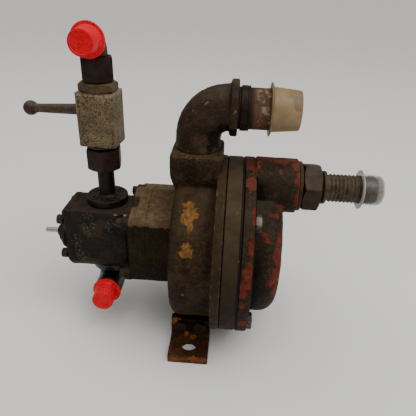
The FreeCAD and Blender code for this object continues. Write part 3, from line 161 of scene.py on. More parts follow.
class Finish:
    """A material that is built up in layers, on a principled shader."""

    def __init__(self, name, **fixed):
        self.material = bpy.data.materials.new(name)
        self.material.use_nodes = True
        self.tree = self.material.node_tree
        self.shader = self.tree.nodes["Principled BSDF"]
        for key, value in fixed.items():
            self.shader.inputs[key.replace("_", " ").title().replace("Ior", "IOR")].default_value = value
        self.places = self.node("ShaderNodeTexCoord", result="Object")

    def node(self, kind, settings=None, sockets=None, result=0):
        made = self.tree.nodes.new(kind)
        for key, value in (settings or {}).items():
            setattr(made, key, value)
        for key, value in (sockets or {}).items():
            self.feed(made.inputs[key], value)
        return Tone(self, made.outputs[result])

    def feed(self, socket, value):
        if isinstance(value, Tone):
            self.tree.links.new(value.socket, socket)
        elif isinstance(value, tuple) and len(value) == 3 and socket.type == "RGBA":
            socket.default_value = value + (1.0,)
        else:
            socket.default_value = value

    def cloud(self, scale, detail=4.0, rough=0.6, at=None):
        """Noise from 0 to 1 with this many blots to the metre."""
        return self.node("ShaderNodeTexNoise", None,
                         {"Vector": at or self.places, "Scale": scale, "Detail": detail, "Roughness": rough})

    def mix(self, amount, low, high):
        """A colour between two colours."""
        return self.node("ShaderNodeMix", {"data_type": "RGBA"}, {0: amount, 6: low, 7: high}, 2)

    def blot(self, centre, size, ragged=1.4, scale=90.0):
        """1 inside a ragged patch with this middle and half sizes in millimetres, 0 outside."""
        middle = tuple(0.001 * c for c in centre)
        offset = self.node("ShaderNodeVectorMath", {"operation": "SUBTRACT"}, {0: self.places, 1: middle})
        share = tuple(1000.0 / s for s in size)
        scaled = self.node("ShaderNodeVectorMath", {"operation": "MULTIPLY"}, {0: offset, 1: share})
        reach = self.node("ShaderNodeVectorMath", {"operation": "LENGTH"}, {0: scaled}, "Value")
        edge = reach + (self.cloud(scale, 6.0, 0.7) - 0.5) * (2 * ragged)
        edge = edge + (self.cloud(3.6 * scale, 4.0, 0.7) - 0.5) * (1.1 * ragged)
        return edge.ramp(1.04, 0.94)

    def blots(self, places, ragged=1.4, scale=90.0):
        """Several patches as one mask."""
        masks = [self.blot(centre, size, ragged, scale) for centre, size in places]
        whole = masks[0]
        for mask in masks[1:]:
            whole = whole | mask
        return whole

    def facing(self, axis="Z"):
        """How far the surface faces an axis, from -1 to 1."""
        normal = self.node("ShaderNodeNewGeometry", result="Normal")
        return self.node("ShaderNodeSeparateXYZ", None, {0: normal}, axis)

    def edges(self, low=0.52, high=0.6):
        """1 on worn corners of an evenly meshed piece."""
        return self.node("ShaderNodeNewGeometry", result="Pointiness").ramp(low, high)

    def height(self, axis="Z"):
        return self.node("ShaderNodeSeparateXYZ", None, {0: self.places}, axis)

    def wear(self, colour, roughness, relief=None, depth=0.0005, strength=0.6):
        """Feeds the finished layers to the shader."""
        self.feed(self.shader.inputs["Base Color"], colour)
        self.feed(self.shader.inputs["Roughness"], roughness)
        if relief is not None:
            bump = self.node("ShaderNodeBump", None,
                             {"Height": relief, "Distance": depth, "Strength": strength})
            self.feed(self.shader.inputs["Normal"], bump)


def alone(piece):
    """Deselects everything, then selects one piece and makes it the active one."""
    bpy.ops.object.select_all(action="DESELECT")
    piece.select_set(True)
    bpy.context.view_layer.objects.active = piece


def apply_modifier(piece, kind, **settings):
    alone(piece)
    modifier = piece.modifiers.new(kind.lower(), kind)
    for key, value in settings.items():
        setattr(modifier, key, value)
    bpy.ops.object.modifier_apply(modifier=modifier.name)


def soften(piece, grid, rounds):
    """Meshes a piece evenly on this grid and rounds its edges off."""
    apply_modifier(piece, "REMESH", mode="VOXEL", voxel_size=grid)
    apply_modifier(piece, "SMOOTH", factor=0.5, iterations=rounds)


def cast_skin(node, grid, softening=4, grain=0.0, size=0.012):
    """A copy of a CAD node, merged and meshed evenly, with the soft edges and skin of a casting."""
    piece = bpy.data.objects.new(node + "_skin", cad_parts[node].data.copy())
    bpy.context.scene.collection.objects.link(piece)
    alone(piece)
    bpy.ops.object.mode_set(mode="EDIT")
    bpy.ops.mesh.select_all(action="SELECT")
    bpy.ops.mesh.remove_doubles(threshold=0.000002)
    bpy.ops.object.mode_set(mode="OBJECT")
    soften(piece, grid, softening)
    if grain:
        shifts = [grain * noise.fractal(v.co / size, 0.9, 2.0, 4) for v in piece.data.vertices]
        normals = [v.normal.copy() for v in piece.data.vertices]
        low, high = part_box(node)
        for vertex, normal, shift in zip(piece.data.vertices, normals, shifts):
            moved = vertex.co + normal * shift
            vertex.co = [min(max(v, a), b) for v, a, b in zip(moved, low, high)]
    alone(piece)
    bpy.ops.object.shade_smooth()
    return piece


def hand_over(piece, finish, body, slot, *nodes):
    """Puts a finished piece's place in its mesh, gives it its look and ties it to its body."""
    alone(piece)
    bpy.ops.object.transform_apply(location=True, rotation=True, scale=True)
    piece.data.materials.clear()
    piece.data.materials.append(finish.material)
    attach(piece, body)
    if nodes:
        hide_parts(*nodes)


def dress(finish, *nodes):
    """Gives CAD nodes whose shapes are right a better material."""
    for node in nodes:
        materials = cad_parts[node].data.materials
        materials.clear()
        materials.append(finish.material)


casing_finish = Finish("casing_paint", specular_ior_level=0.07)
f = casing_finish
olive = f.mix(f.cloud(28, 6, 0.7).ramp(0.35, 0.7), (0.017, 0.009, 0.004), (0.040, 0.024, 0.011))
olive = f.mix(f.cloud(260, 5, 0.75).ramp(0.48, 0.66) * 0.7, olive, (0.066, 0.042, 0.020))
olive = f.mix(f.cloud(340, 4, 0.75).ramp(0.54, 0.66) * 0.7, olive, (0.007, 0.004, 0.002))
mottle = f.cloud(62, 6, 0.75).ramp(0.52, 0.60)
olive = f.mix(mottle * 0.6, olive, (0.008, 0.005, 0.0025))
# Painted shade: downward-facing surfaces are darkened in cloudy patches; the same mask also makes them a
# little glossier, as grease.
shade_and_grease = f.cloud(16, 5, 0.7).ramp(0.5, 0.66) * f.facing().ramp(0.5, -0.3)
olive = f.mix(shade_and_grease * 0.8, olive, (0.006, 0.004, 0.002))
dust = f.facing().ramp(0.1, 0.95) * f.cloud(45, 6, 0.7).ramp(0.3, 0.6)
olive = f.mix(dust * 0.6, olive, (0.074, 0.048, 0.024))
flange = f.height("X").ramp(0.022, 0.027)
olive = f.mix(flange * 0.5, olive, (0.036, 0.024, 0.013))
worn = f.edges(0.515, 0.56)
olive = f.mix(worn * 0.4, olive, (0.085, 0.050, 0.028))
pink = flange * worn * f.cloud(130, 4, 0.7).ramp(0.56, 0.62)
olive = f.mix(pink, olive, (0.21, 0.105, 0.080))
olive = f.mix(f.height("X").ramp(0.0372, 0.0384) * 0.8, olive, (0.004, 0.003, 0.002))
crumbs = f.blot((2, -17, 268), (34, 20, 5), 1.2, 90) * f.cloud(220, 4, 0.7).ramp(0.44, 0.56)
olive = f.mix(crumbs * 0.7, olive, (0.12, 0.080, 0.038))
bare = f.blots([((-2.5, -66, 211), (9.5, 16, 12)), ((-1.5, -76, 201), (5.0, 9, 10)),
                ((-5.5, -90, 180), (5, 7, 6)), ((-3.0, -93, 174), (8, 9, 6)),
                ((-6, -106, 118), (3, 8, 2))], 1.5, 95)
skin = f.mix(f.cloud(230, 4, 0.7).ramp(0.4, 0.7), (0.12, 0.052, 0.014), (0.27, 0.130, 0.036))
skin = f.mix(f.cloud(60, 4, 0.6).ramp(0.58, 0.7), skin, (0.28, 0.12, 0.07))
colour = f.mix(bare, olive, skin)
relief = f.cloud(120, 6, 0.65) + f.cloud(420, 3, 0.6) * 0.5 - bare * 0.3 - mottle * 0.2
f.wear(colour, f.cloud(40).ramp(0.2, 0.8) * 0.25 + 0.45 - shade_and_grease * 0.15, relief, 0.0016, 0.95)
hand_over(cast_skin("volute_casing", 0.0017, 3, 0.00035), f, "pump", "casing_paint", "volute_casing")

# Intermediate ring and gasket. The ring is a plain turned casting in the casing's paint, with a drip of
# dust on top, painted lighter at the top and darker below as painted light and shade; the black paper
# gasket shows as a thin line between it and the suction cover.

ring_finish = Finish("ring_paint", specular_ior_level=0.08)
f = ring_finish
# Painted light and shade: the ring is painted lighter towards the top and darker towards the bottom.
paint = f.mix(f.height().ramp(0.06, 0.22), (0.015, 0.009, 0.005), (0.046, 0.031, 0.017))
paint = f.mix(f.cloud(30, 6, 0.7).ramp(0.4, 0.7) * 0.5, paint, (0.020, 0.012, 0.006))
dust = f.facing().ramp(0.1, 0.9) * f.cloud(50, 6, 0.7).ramp(0.3, 0.6)
paint = f.mix(dust * 0.5, paint, (0.080, 0.056, 0.031))
# Painted shade: downward-facing surfaces are darkened in cloudy patches.
shade_and_grease = f.cloud(18, 5, 0.7).ramp(0.52, 0.66) * f.facing().ramp(0.3, -0.4)
paint = f.mix(shade_and_grease * 0.8, paint, (0.008, 0.005, 0.003))
seam = f.height("X").ramp(0.0565, 0.0576) | f.height("X").ramp(0.0400, 0.0388)
paint = f.mix(seam * 0.9, paint, (0.003, 0.002, 0.002))
flecks = f.cloud(150, 3, 0.6).ramp(0.69, 0.72)
paint = f.mix(flecks, paint, (0.15, 0.11, 0.07))
f.wear(paint, f.cloud(60).ramp(0.2, 0.8) * 0.2 + 0.5, f.cloud(150, 6, 0.65) * 0.6, 0.0006, 0.5)
dress(f, "intermediate_ring")

rubber = Finish("gasket_black", specular_ior_level=0.25)
f = rubber
soot = f.mix(f.cloud(90).ramp(0.4, 0.7), (0.002, 0.002, 0.002), (0.006, 0.005, 0.004))
f.wear(soot, f.cloud(200) * 0.2 + 0.6, f.cloud(400), 0.0003, 0.5)
dress(f, "cover_gasket", "coupling_spider", "motor_shaft_seal", "top_port_seal", "low_port_seal")

# Suction cover. A casting with a flat bolted plate, a deep dome and the round inlet boss. Its top coat has
# flaked down to red-oxide primer along the plate's rim, on the dome's shoulder and round the inlet.

cover_finish = Finish("cover_paint", specular_ior_level=0.07)
f = cover_finish
top_coat = f.mix(f.cloud(30, 6, 0.7).ramp(0.35, 0.7), (0.015, 0.010, 0.006), (0.034, 0.023, 0.012))
top_coat = f.mix(f.cloud(280, 5, 0.75).ramp(0.48, 0.66) * 0.6, top_coat, (0.062, 0.043, 0.024))
top_coat = f.mix(f.cloud(330, 4, 0.75).ramp(0.56, 0.68) * 0.6, top_coat, (0.008, 0.005, 0.003))
top_coat = f.mix(f.facing().ramp(0.1, 0.95) * f.cloud(45, 6, 0.7).ramp(0.3, 0.65) * 0.35, top_coat,
                 (0.066, 0.045, 0.025))
shade = f.cloud(14, 5, 0.7).ramp(0.45, 0.62) * f.facing().ramp(0.45, -0.2)
top_coat = f.mix(shade * 0.85, top_coat, (0.005, 0.003, 0.002))
# Darker towards the bottom, in cloudy patches.
low_darkening = f.height().ramp(0.115, 0.06) * f.cloud(40, 6, 0.7).ramp(0.3, 0.55)
top_coat = f.mix(low_darkening * 0.7, top_coat, (0.011, 0.006, 0.004))
# Painted shade: the plate's face beside the dome and the dome's root next to the plate are painted almost
# black, where the gap between them lies in shade.
corner = f.facing("X").ramp(0.4, 0.85) * f.height("X").ramp(0.080, 0.0758)
dome_root_shade = f.height("X").ramp(0.094, 0.077) * f.height("X").ramp(0.0740, 0.0750)
corner = corner | (dome_root_shade * f.facing().ramp(0.75, 0.2))
flakes = [
    ((66, 0, 253), (8.5, 34, 6)), ((66, -44, 245), (8, 14, 7)), ((72, -84, 222), (2.5, 12, 9)),
    ((71, -104, 193), (4.0, 8, 14)), ((68, -112, 168), (5.5, 6, 12)), ((65, -117.5, 146), (5, 5, 15)),
    ((70, -117, 158), (4, 4, 9)), ((65, -117, 122), (3, 4, 7)), ((68, -108, 88), (6.5, 7, 10)),
    ((80, 3, 258), (22, 13, 5)), ((106, 0, 259.5), (20, 11, 4)), ((121, -12, 256), (6, 13, 8)),
    ((123, -26, 242), (4.2, 8, 12)), ((125, -34, 222), (3.6, 5, 14)), ((124, -28, 203), (3, 6, 6)),
    ((102.4, -21.5, 252), (1.9, 4, 2.3)), ((106, -33, 209), (6, 6, 4)), ((98, -49, 207), (8, 4, 3)),
    ((87, -70, 191.5), (3.4, 5, 2.4)), ((91, -72, 185), (3.4, 4, 2.8)), ((105, -68, 185), (4, 8, 9)),
    ((103, -77, 165), (6.5, 9, 14)), ((101, -84, 143), (9, 10, 15)), ((104, -80, 122), (5, 9, 13)),
    ((99, 40, 60), (9, 14, 16)), ((66, 96, 200), (6, 16, 14)), ((66, 60, 34), (6, 16, 9)),
    ((111, 20, 110), (3, 18, 10)), ((111, -20, 160), (3, 8, 6)),
]
flaked = f.blots(flakes, 1.7, 85)
flaked = flaked * f.cloud(260, 4, 0.7).ramp(0.30, 0.36)
oxide = f.mix(f.cloud(120, 5, 0.7).ramp(0.35, 0.7), (0.088, 0.016, 0.009), (0.150, 0.030, 0.019))
oxide = f.mix(f.height().ramp(0.22, 0.25) * 0.4, oxide, (0.13, 0.05, 0.033))
colour = f.mix(flaked, top_coat, oxide)
# The painted shade in the gap between plate and dome.
colour = f.mix(corner * 0.92, colour, (0.002, 0.0015, 0.001))
colour = f.mix(f.height("X").ramp(0.0612, 0.0600) * 0.85, colour, (0.003, 0.002, 0.002))
relief = f.cloud(110, 6, 0.65) + f.cloud(420, 3, 0.6) * 0.5 - flaked * 0.3
f.wear(colour, f.cloud(40).ramp(0.2, 0.8) * 0.2 + 0.48 + flaked * 0.15, relief, 0.0013, 0.9)
hand_over(cast_skin("suction_cover", 0.0016, 3, 0.0003), f, "pump", "cover_paint", "suction_cover")

# Cover and foot bolts. Forged hexagon bolts, chamfered on the head, through the cover into the casing's
# flange and through the feet into the casing's pads; they have rusted, and one head carries a painted
# highlight.


def prism(name, sides, radius, start, axis, length, turn=0.0):
    """A bar with this many sides from a point along an axis, in millimetres."""
    direction = Vector(axis)
    middle = (Vector(start) + direction * length / 2) * 0.001
    bpy.ops.object.select_all(action="DESELECT")
    bpy.ops.mesh.primitive_cylinder_add(vertices=sides, radius=radius * 0.001, depth=length * 0.001)
    piece = bpy.context.object
    piece.name = name
    stand = direction.to_track_quat("Z", "Y").to_matrix().to_4x4()
    piece.data.transform(Matrix.Translation(middle) @ stand @ turned(turn, "Z"))
    return piece


def lathe(name, start, axis, profile, sides=96):
    """A closed turned piece, drawn out along an axis through (distance, radius) steps in millimetres."""
    direction = Vector(axis)
    first, radius = profile[0]
    bpy.ops.object.select_all(action="DESELECT")
    bpy.ops.mesh.primitive_circle_add(vertices=sides, radius=radius * 0.001, fill_type="NGON")
    piece = bpy.context.object
    piece.name = name
    stand = direction.to_track_quat("Z", "Y").to_matrix().to_4x4()
    piece.data.transform(Matrix.Translation((Vector(start) + direction * first) * 0.001) @ stand)
    bpy.ops.object.mode_set(mode="EDIT")
    bpy.ops.mesh.select_all(action="SELECT")
    for distance, next_radius in profile[1:]:
        centre = (Vector(start) + direction * distance) * 0.001
        bpy.ops.mesh.extrude_region_move(
            TRANSFORM_OT_translate={"value": direction * (distance - first) * 0.001})
        scale = next_radius / radius
        bpy.ops.transform.resize(value=(scale, scale, scale), center_override=centre)
        first, radius = distance, next_radius
    bpy.ops.mesh.select_all(action="SELECT")
    bpy.ops.mesh.remove_doubles(threshold=0.0000005)
    bpy.ops.mesh.normals_make_consistent(inside=False)
    bpy.ops.object.mode_set(mode="OBJECT")
    return piece


def combine(piece, tool, operation):
    """Joins, cuts or keeps what two pieces share, and removes the tool."""
    apply_modifier(piece, "BOOLEAN", object=tool, operation=operation, solver="EXACT")
    bpy.data.objects.remove(tool)


def smooth_below(piece, degrees):
    """Smooth shading that breaks where faces meet at more than this angle."""
    alone(piece)
    bpy.ops.object.shade_smooth_by_angle(angle=math.radians(degrees))


def ease(piece, width, segments=2, angle=30.0):
    """Rounds a piece's edges by this many millimetres, then smooths what is left."""
    apply_modifier(piece, "BEVEL", width=width * 0.001, segments=segments, limit_method="ANGLE",
                   angle_limit=math.radians(angle), use_clamp_overlap=True)
    smooth_below(piece, 40)


def hex_bar(name, flats, start, axis, length, turn=0.0, both_ends=False):
    """A hexagon bar whose far corners, or the corners of both ends, are turned off at 30 degrees."""
    corner = flats / math.sqrt(3)
    piece = prism(name, 6, corner, start, axis, length, turn)
    drop = (corner - flats / 2 * 0.98) * 0.58
    near = [(0, flats / 2 * 0.98), (drop, corner + 0.1)] if both_ends else [(0, corner + 0.1)]
    cone = lathe("cone", start, axis, near + [(length - drop, corner + 0.1), (length, flats / 2 * 0.98)], 72)
    combine(piece, cone, "INTERSECT")
    return piece


def hex_bolt(name, flats, head, shank_r, length, axis, turn):
    """A bolt whose head stands on the origin."""
    piece = hex_bar(name, flats, (0, 0, 0), axis, head, turn)
    steps = [(-1, shank_r), (length - 1, shank_r), (length, shank_r - 1)]
    combine(piece, lathe("shank", (0, 0, 0), -Vector(axis), steps, 32), "UNION")
    ease(piece, 0.35)
    return piece


def rectangle(x, y, half_width, half_height):
    """The corners of an upright rectangle across the shaft, in millimetres."""
    return [(x, y + sy * half_width, SHAFT_Z + sz * half_height) for sy in (-1, 1) for sz in (-1, 1)]


def repeat(piece, places, finish, body, slot, *nodes):
    """Copies a piece to places in millimetres, each copy with its own mesh."""
    name = piece.name
    for i, place in enumerate(places):
        copy = bpy.data.objects.new(f"{name}_{i + 1}", piece.data.copy())
        bpy.context.scene.collection.objects.link(copy)
        copy.data.transform(Matrix.Translation(Vector(place) * 0.001))
        hand_over(copy, finish, body, slot, *nodes)
    bpy.data.objects.remove(piece)


bolt_finish = Finish("bolt_steel", metallic=0.7, specular_ior_level=0.5)
f = bolt_finish
steel = f.mix(f.cloud(260, 4, 0.6).ramp(0.4, 0.65), (0.055, 0.038, 0.026), (0.15, 0.125, 0.10))
steel = f.mix(f.cloud(90, 5, 0.7).ramp(0.5, 0.7), steel, (0.040, 0.019, 0.010))
# Painted highlight: the head of the upper front cover bolt is painted bright grey.
steel = f.mix(f.blot((78, -73.5, 213), (9, 11, 6), 0.8, 200) * 0.9, steel, (0.17, 0.15, 0.11))
f.wear(steel, f.cloud(300) * 0.3 + 0.4, f.cloud(600, 4), 0.0002, 0.5)
crust = Finish("crusted_steel", specular_ior_level=0.15)
c = crust
lumps = c.mix(c.cloud(300, 5, 0.7).ramp(0.4, 0.65), (0.007, 0.004, 0.003), (0.045, 0.018, 0.007))
c.wear(lumps, c.cloud(300) * 0.2 + 0.65, c.cloud(500, 5), 0.0004, 0.8)
BOLT_CIRCLE_R = 104
COVER_FACE_X = 74.25
bolt_circle = [(COVER_FACE_X, BOLT_CIRCLE_R * math.cos(a), SHAFT_Z + BOLT_CIRCLE_R * math.sin(a)) for a in
               (math.radians(45 + 90 * i) for i in range(4))]
repeat(hex_bolt("cover_bolt", 19.0, 7.0, 5.9, 45.25, TO_HOSE, 15.0), bolt_circle, f, "pump", "bolt_steel",
       "cover_bolts")
for name, side, way in (("foot_bolt_front", -57.5, TO_FRONT), ("foot_bolt_rear", 57.5, TO_BACK)):
    repeat(hex_bolt(name, 16.0, 6.5, 4.9, 26.5, way, 20.0), [(-13, side, 30), (13, side, 30)], crust, "pump",
           "bolt_steel", "foot_bolts")

# Feet. Two pieces of thick angle iron, sawn off and drilled, one bolted under each side of the casing. The
# old paint has gone to rust, orange where the rust is fresh; the upright legs are painted dark as painted
# shade.

foot_finish = Finish("foot_rust", specular_ior_level=0.15)
f = foot_finish
rust = f.mix(f.cloud(60, 6, 0.7).ramp(0.35, 0.65), (0.022, 0.008, 0.003), (0.078, 0.027, 0.008))
rust = f.mix(f.cloud(260, 5, 0.7).ramp(0.52, 0.68), rust, (0.13, 0.048, 0.012))
rust = f.mix(f.cloud(30, 5, 0.7).ramp(0.50, 0.58) * 0.7, rust, (0.014, 0.007, 0.004))
# Painted shade: the upright leg above the toe plate is painted nearly black in cloudy patches, where it lies
# in shade under the casing.
leg_shade = f.height().ramp(0.0135, 0.018) * f.cloud(60, 6, 0.75).ramp(0.38, 0.46)
rust = f.mix(leg_shade * 0.85, rust, (0.005, 0.003, 0.002))
fresh = f.blots([((-20, -58, 37), (6, 4, 8)), ((-12, -58, 33), (5, 4, 4)), ((-5, -59, 15.5), (3.5, 4, 3)),
                 ((2, -62, 13), (5, 4, 3)), ((10, -97, 8), (14, 3, 4)), ((-18, -97, 6), (9, 3, 4)),
                 ((18, 60, 20), (9, 6, 8)), ((-10, 97, 7), (12, 3, 4))], 1.6, 110)
orange = f.mix(f.cloud(200).ramp(0.4, 0.6), (0.20, 0.055, 0.010), (0.34, 0.115, 0.020))
rust = f.mix(fresh * 0.85, rust, orange)
front = f.facing("Y").ramp(-0.6, -0.95) * f.height().ramp(0.016, 0.012)
rust = f.mix(front * f.cloud(50, 5, 0.7).ramp(0.3, 0.5) * 0.6, rust, (0.085, 0.030, 0.008))
f.wear(rust, f.cloud(70) * 0.3 + 0.6, f.cloud(180, 6, 0.7) + f.cloud(700, 3) * 0.3, 0.0010, 0.85)
for side in ("front", "rear"):
    hand_over(cast_skin("foot_" + side, 0.0009, 2, 0.0003, 0.007), f, "pump", "foot_rust", "foot_" + side)

# Adapter. A plate and a short housing, cast and machined on their ends, tie the motor to the casing with
# four long socket screws. Dust lies thick on the sloping top; the front is oily with a green cast.

adapter_finish = Finish("adapter_paint", specular_ior_level=0.07)
f = adapter_finish
paint = f.mix(f.cloud(40, 6, 0.7).ramp(0.35, 0.7), (0.012, 0.007, 0.003), (0.030, 0.018, 0.007))
green = f.blot((-50, -43, 158), (13, 8, 26), 1.0, 60)
paint = f.mix(green * 0.6, paint, (0.010, 0.011, 0.004))
oil = f.height().ramp(0.118, 0.106) * f.facing("Y").ramp(-0.5, -0.9)
paint = f.mix(oil * 0.8, paint, (0.010, 0.008, 0.007))
powder = (f.facing().ramp(0.3, 0.75) * f.cloud(70, 6, 0.75).ramp(0.2, 0.45)) | (
    (f.height() + f.cloud(110, 5, 0.75) * 0.016).ramp(0.1825, 0.1845))
sand = f.mix(f.cloud(120, 5).ramp(0.35, 0.7), (0.095, 0.058, 0.028), (0.170, 0.112, 0.062))
paint = f.mix(powder * 0.9, paint, sand)
paint = f.mix(f.cloud(330, 4, 0.75).ramp(0.54, 0.66) * 0.5, paint, (0.010, 0.007, 0.004))
paint = f.mix(f.cloud(280, 5, 0.75).ramp(0.52, 0.68) * 0.4, paint, (0.090, 0.064, 0.034))
paint = f.mix(f.edges(0.52, 0.58) * 0.3, paint, (0.10, 0.07, 0.04))
f.wear(paint, f.cloud(60) * 0.25 + 0.5, f.cloud(150, 6, 0.65) + f.cloud(500, 3) * 0.4, 0.0011, 0.9)
for node in ("adapter_housing", "adapter_plate"):
    hand_over(cast_skin(node, 0.0009, 2, 0.0002), f, "pump", "adapter_paint", node)


def socket_screw(name, head_r, head, shank_r, length, axis, key):
    """A screw with a drilled hexagon socket, whose head stands on the origin."""
    tip = head_r * 0.08
    steps = [(-length, shank_r - 0.6), (-length + 0.6, shank_r), (0, shank_r), (0, head_r),
             (head - tip, head_r), (head, head_r - tip)]
    piece = lathe(name, (0, 0, 0), axis, steps, 40)
    start = Vector(axis) * (head - head * 0.6)
    combine(piece, prism("key", 6, key / math.sqrt(3), start, axis, head), "DIFFERENCE")
    ease(piece, 0.2, 1)
    return piece


screw_finish = Finish("screw_steel", metallic=0.4, specular_ior_level=0.3)
f = screw_finish
black = f.mix(f.cloud(240, 5, 0.7).ramp(0.4, 0.65), (0.014, 0.009, 0.006), (0.050, 0.036, 0.026))
black = f.mix(f.cloud(110, 5, 0.7).ramp(0.55, 0.72), black, (0.030, 0.014, 0.008))
f.wear(black, f.cloud(300) * 0.3 + 0.35, f.cloud(700, 4), 0.0002, 0.4)
repeat(socket_screw("adapter_screw", 8.0, 7.5, 5.0, 59.0, TO_MOTOR, 8.0), rectangle(-76, 17, 24, 47), f,
       "pump", "bolt_steel", "adapter_screws")

# Coupling between motor and pump. Two steel jaw hubs and a rubber star inside the adapter, with the pump's
# shaft, bearing, seal, impeller and wear ring behind them in the casing.

ground = Finish("shaft_steel", metallic=1.0, specular_ior_level=0.5)
f = ground
steel = f.mix(f.cloud(200, 4).ramp(0.4, 0.7), (0.34, 0.33, 0.31), (0.52, 0.51, 0.49))
f.wear(steel, f.cloud(400) * 0.2 + 0.22, f.cloud(900, 3), 0.0001, 0.3)
dress(f, "pump_shaft", "idler_gear_shaft", "impeller_key", "shaft_bearing", "pump_coupling_hub",
      "motor_coupling_hub", "impeller_nut", "drive_gear_shaft")
bronze = Finish("bronze", metallic=1.0, specular_ior_level=0.5)
f = bronze
metal = f.mix(f.cloud(90, 5).ramp(0.4, 0.7), (0.26, 0.16, 0.07), (0.42, 0.29, 0.13))
f.wear(metal, f.cloud(200) * 0.25 + 0.3, f.cloud(300, 5), 0.0003, 0.5)
dress(f, "impeller", "wear_ring", "front_bearing_block", "rear_bearing_block")
carbon = Finish("seal_carbon")
f = carbon
grey = f.mix(f.cloud(200).ramp(0.4, 0.7), (0.025, 0.025, 0.027), (0.05, 0.05, 0.055))
f.wear(grey, f.cloud(400) * 0.1 + 0.25)
dress(f, "seal_seat", "seal_face")

# Gear motor. A machined block with a chamfered rear cover, a stepped boss round a bright shaft stub and a
# four-lug front flange. The satin black paint is chipped to pale metal and browned with dust on top.

motor_finish = Finish("motor_paint", specular_ior_level=0.09)
f = motor_finish
black = f.mix(f.cloud(35, 6, 0.7).ramp(0.35, 0.7), (0.007, 0.005, 0.004), (0.020, 0.015, 0.012))
black = f.mix(f.cloud(150, 6, 0.7).ramp(0.55, 0.72) * 0.5, black, (0.042, 0.033, 0.026))
smear = f.blots([((-138, -23, 152), (13, 4, 10)), ((-122, -23, 163), (12, 4, 6)),
                 ((-146, -23, 100), (14, 4, 9))], 1.6, 50)
black = f.mix(smear * 0.5, black, (0.050, 0.034, 0.018))
brown = f.facing().ramp(0.2, 0.9) * f.cloud(50, 6, 0.7).ramp(0.25, 0.6)
black = f.mix(brown * 0.65, black, (0.050, 0.033, 0.021))
chips = f.blots([((-141, -23, 172), (8.5, 3, 5)), ((-135, -23, 160), (5, 3, 6)),
                 ((-108, -23, 176.5), (3.5, 3, 2)), ((-161, -23, 134), (6, 4, 14)),
                 ((-158, -23, 108), (9, 4, 9)), ((-146, -23, 152), (5, 3, 8)),
                 ((-118, -23, 128), (3, 3, 2)), ((-112, -23, 160), (6, 3, 9))], 1.6, 60)
chips = chips * f.cloud(520, 4, 0.65).ramp(0.575, 0.62)
chips = chips | f.blot((-89.5, -31, 183.5), (2.5, 3, 2.5), 0.8) | f.blot((-104, -23, 178.5), (3, 3, 1.5), 0.8)
black = f.mix(chips * 0.75, black, (0.24, 0.21, 0.17))
black = f.mix(f.edges(0.52, 0.58) * 0.4, black, (0.070, 0.052, 0.036))
black = f.mix(f.cloud(300, 5, 0.75).ramp(0.52, 0.68) * 0.5, black, (0.050, 0.038, 0.029))
f.wear(black, f.cloud(80) * 0.25 + 0.38 + brown * 0.2, f.cloud(190, 6, 0.65) + f.cloud(600, 3) * 0.3, 0.0007,
       0.8)
for node, grid in (("motor_body", 0.0009), ("motor_end_cover", 0.0007), ("motor_front_flange", 0.0007)):
    hand_over(cast_skin(node, grid, 2, 0.00008), f, "pump", "motor_paint", node)
for name, places, length, node in (
        ("through_bolt", rectangle(-178, MOTOR_Y, 28, 27), 92.0, "motor_through_bolts"),
        ("flange_screw", rectangle(-92, MOTOR_Y, 48, 39), 22.0, "motor_flange_screws")):
    repeat(socket_screw(name, 6.5, 8.0, 4.0, length, TO_MOTOR, 6.0), places, f, "pump", "bolt_steel", node)

# Port pipe and low elbow. Round flanges with counterbored screws seal on the motor's two ports. The upper
# one carries a short black pipe; the lower one is a thick glossy bend with a threaded mouth to the front.

pipe_finish = Finish("oil_pipe", specular_ior_level=0.15)
f = pipe_finish
dark = f.mix(f.cloud(60, 6, 0.7).ramp(0.4, 0.7), (0.005, 0.003, 0.002), (0.016, 0.009, 0.006))
dust = f.facing().ramp(0.3, 0.95) * f.cloud(90, 5, 0.7).ramp(0.35, 0.6)
dark = f.mix(dust * 0.6, dark, (0.034, 0.023, 0.016))
dark = f.mix(f.cloud(200, 5, 0.7).ramp(0.6, 0.75) * 0.6, dark, (0.035, 0.016, 0.009))
dark = f.mix(f.edges(0.515, 0.56) * 0.6, dark, (0.060, 0.038, 0.026))
f.wear(dark, f.cloud(90) * 0.25 + 0.32, f.cloud(300, 5, 0.6), 0.0003, 0.5)
hand_over(cast_skin("port_pipe", 0.0007, 2), f, "pump", "oil_pipe", "port_pipe")
gloss_finish = Finish("low_elbow_gloss", specular_ior_level=0.35)
f = gloss_finish
gloss = f.mix(f.cloud(80, 5, 0.7).ramp(0.45, 0.7), (0.0025, 0.002, 0.002), (0.012, 0.009, 0.008))
f.wear(gloss, f.cloud(120) * 0.25 + 0.18, f.cloud(200, 5, 0.6), 0.0005, 0.5)
hand_over(cast_skin("low_elbow", 0.0007, 2, 0.0001), f, "pump", "oil_pipe", "low_elbow")
PORT_SCREW = 14.142
port_places = [(PORTS_X + sx * PORT_SCREW, MOTOR_Y + sy * PORT_SCREW) for sx in (-1, 1) for sy in (-1, 1)]
for name, way, seat in (("top_port_screw", UP, 185.5), ("low_port_screw", DOWN, 84.5)):
    repeat(socket_screw(name, 5.0, 6.0, 2.9, 17.0, way, 5.0), [(x, y, seat) for x, y in port_places],
           screw_finish, "pump", "bolt_steel", name + "s")

# Union nuts. Forged hexagon nuts, chamfered at both ends, that pull the pipe and the swivel elbow onto the
# valve. Both are dark brown steel with lighter specks.

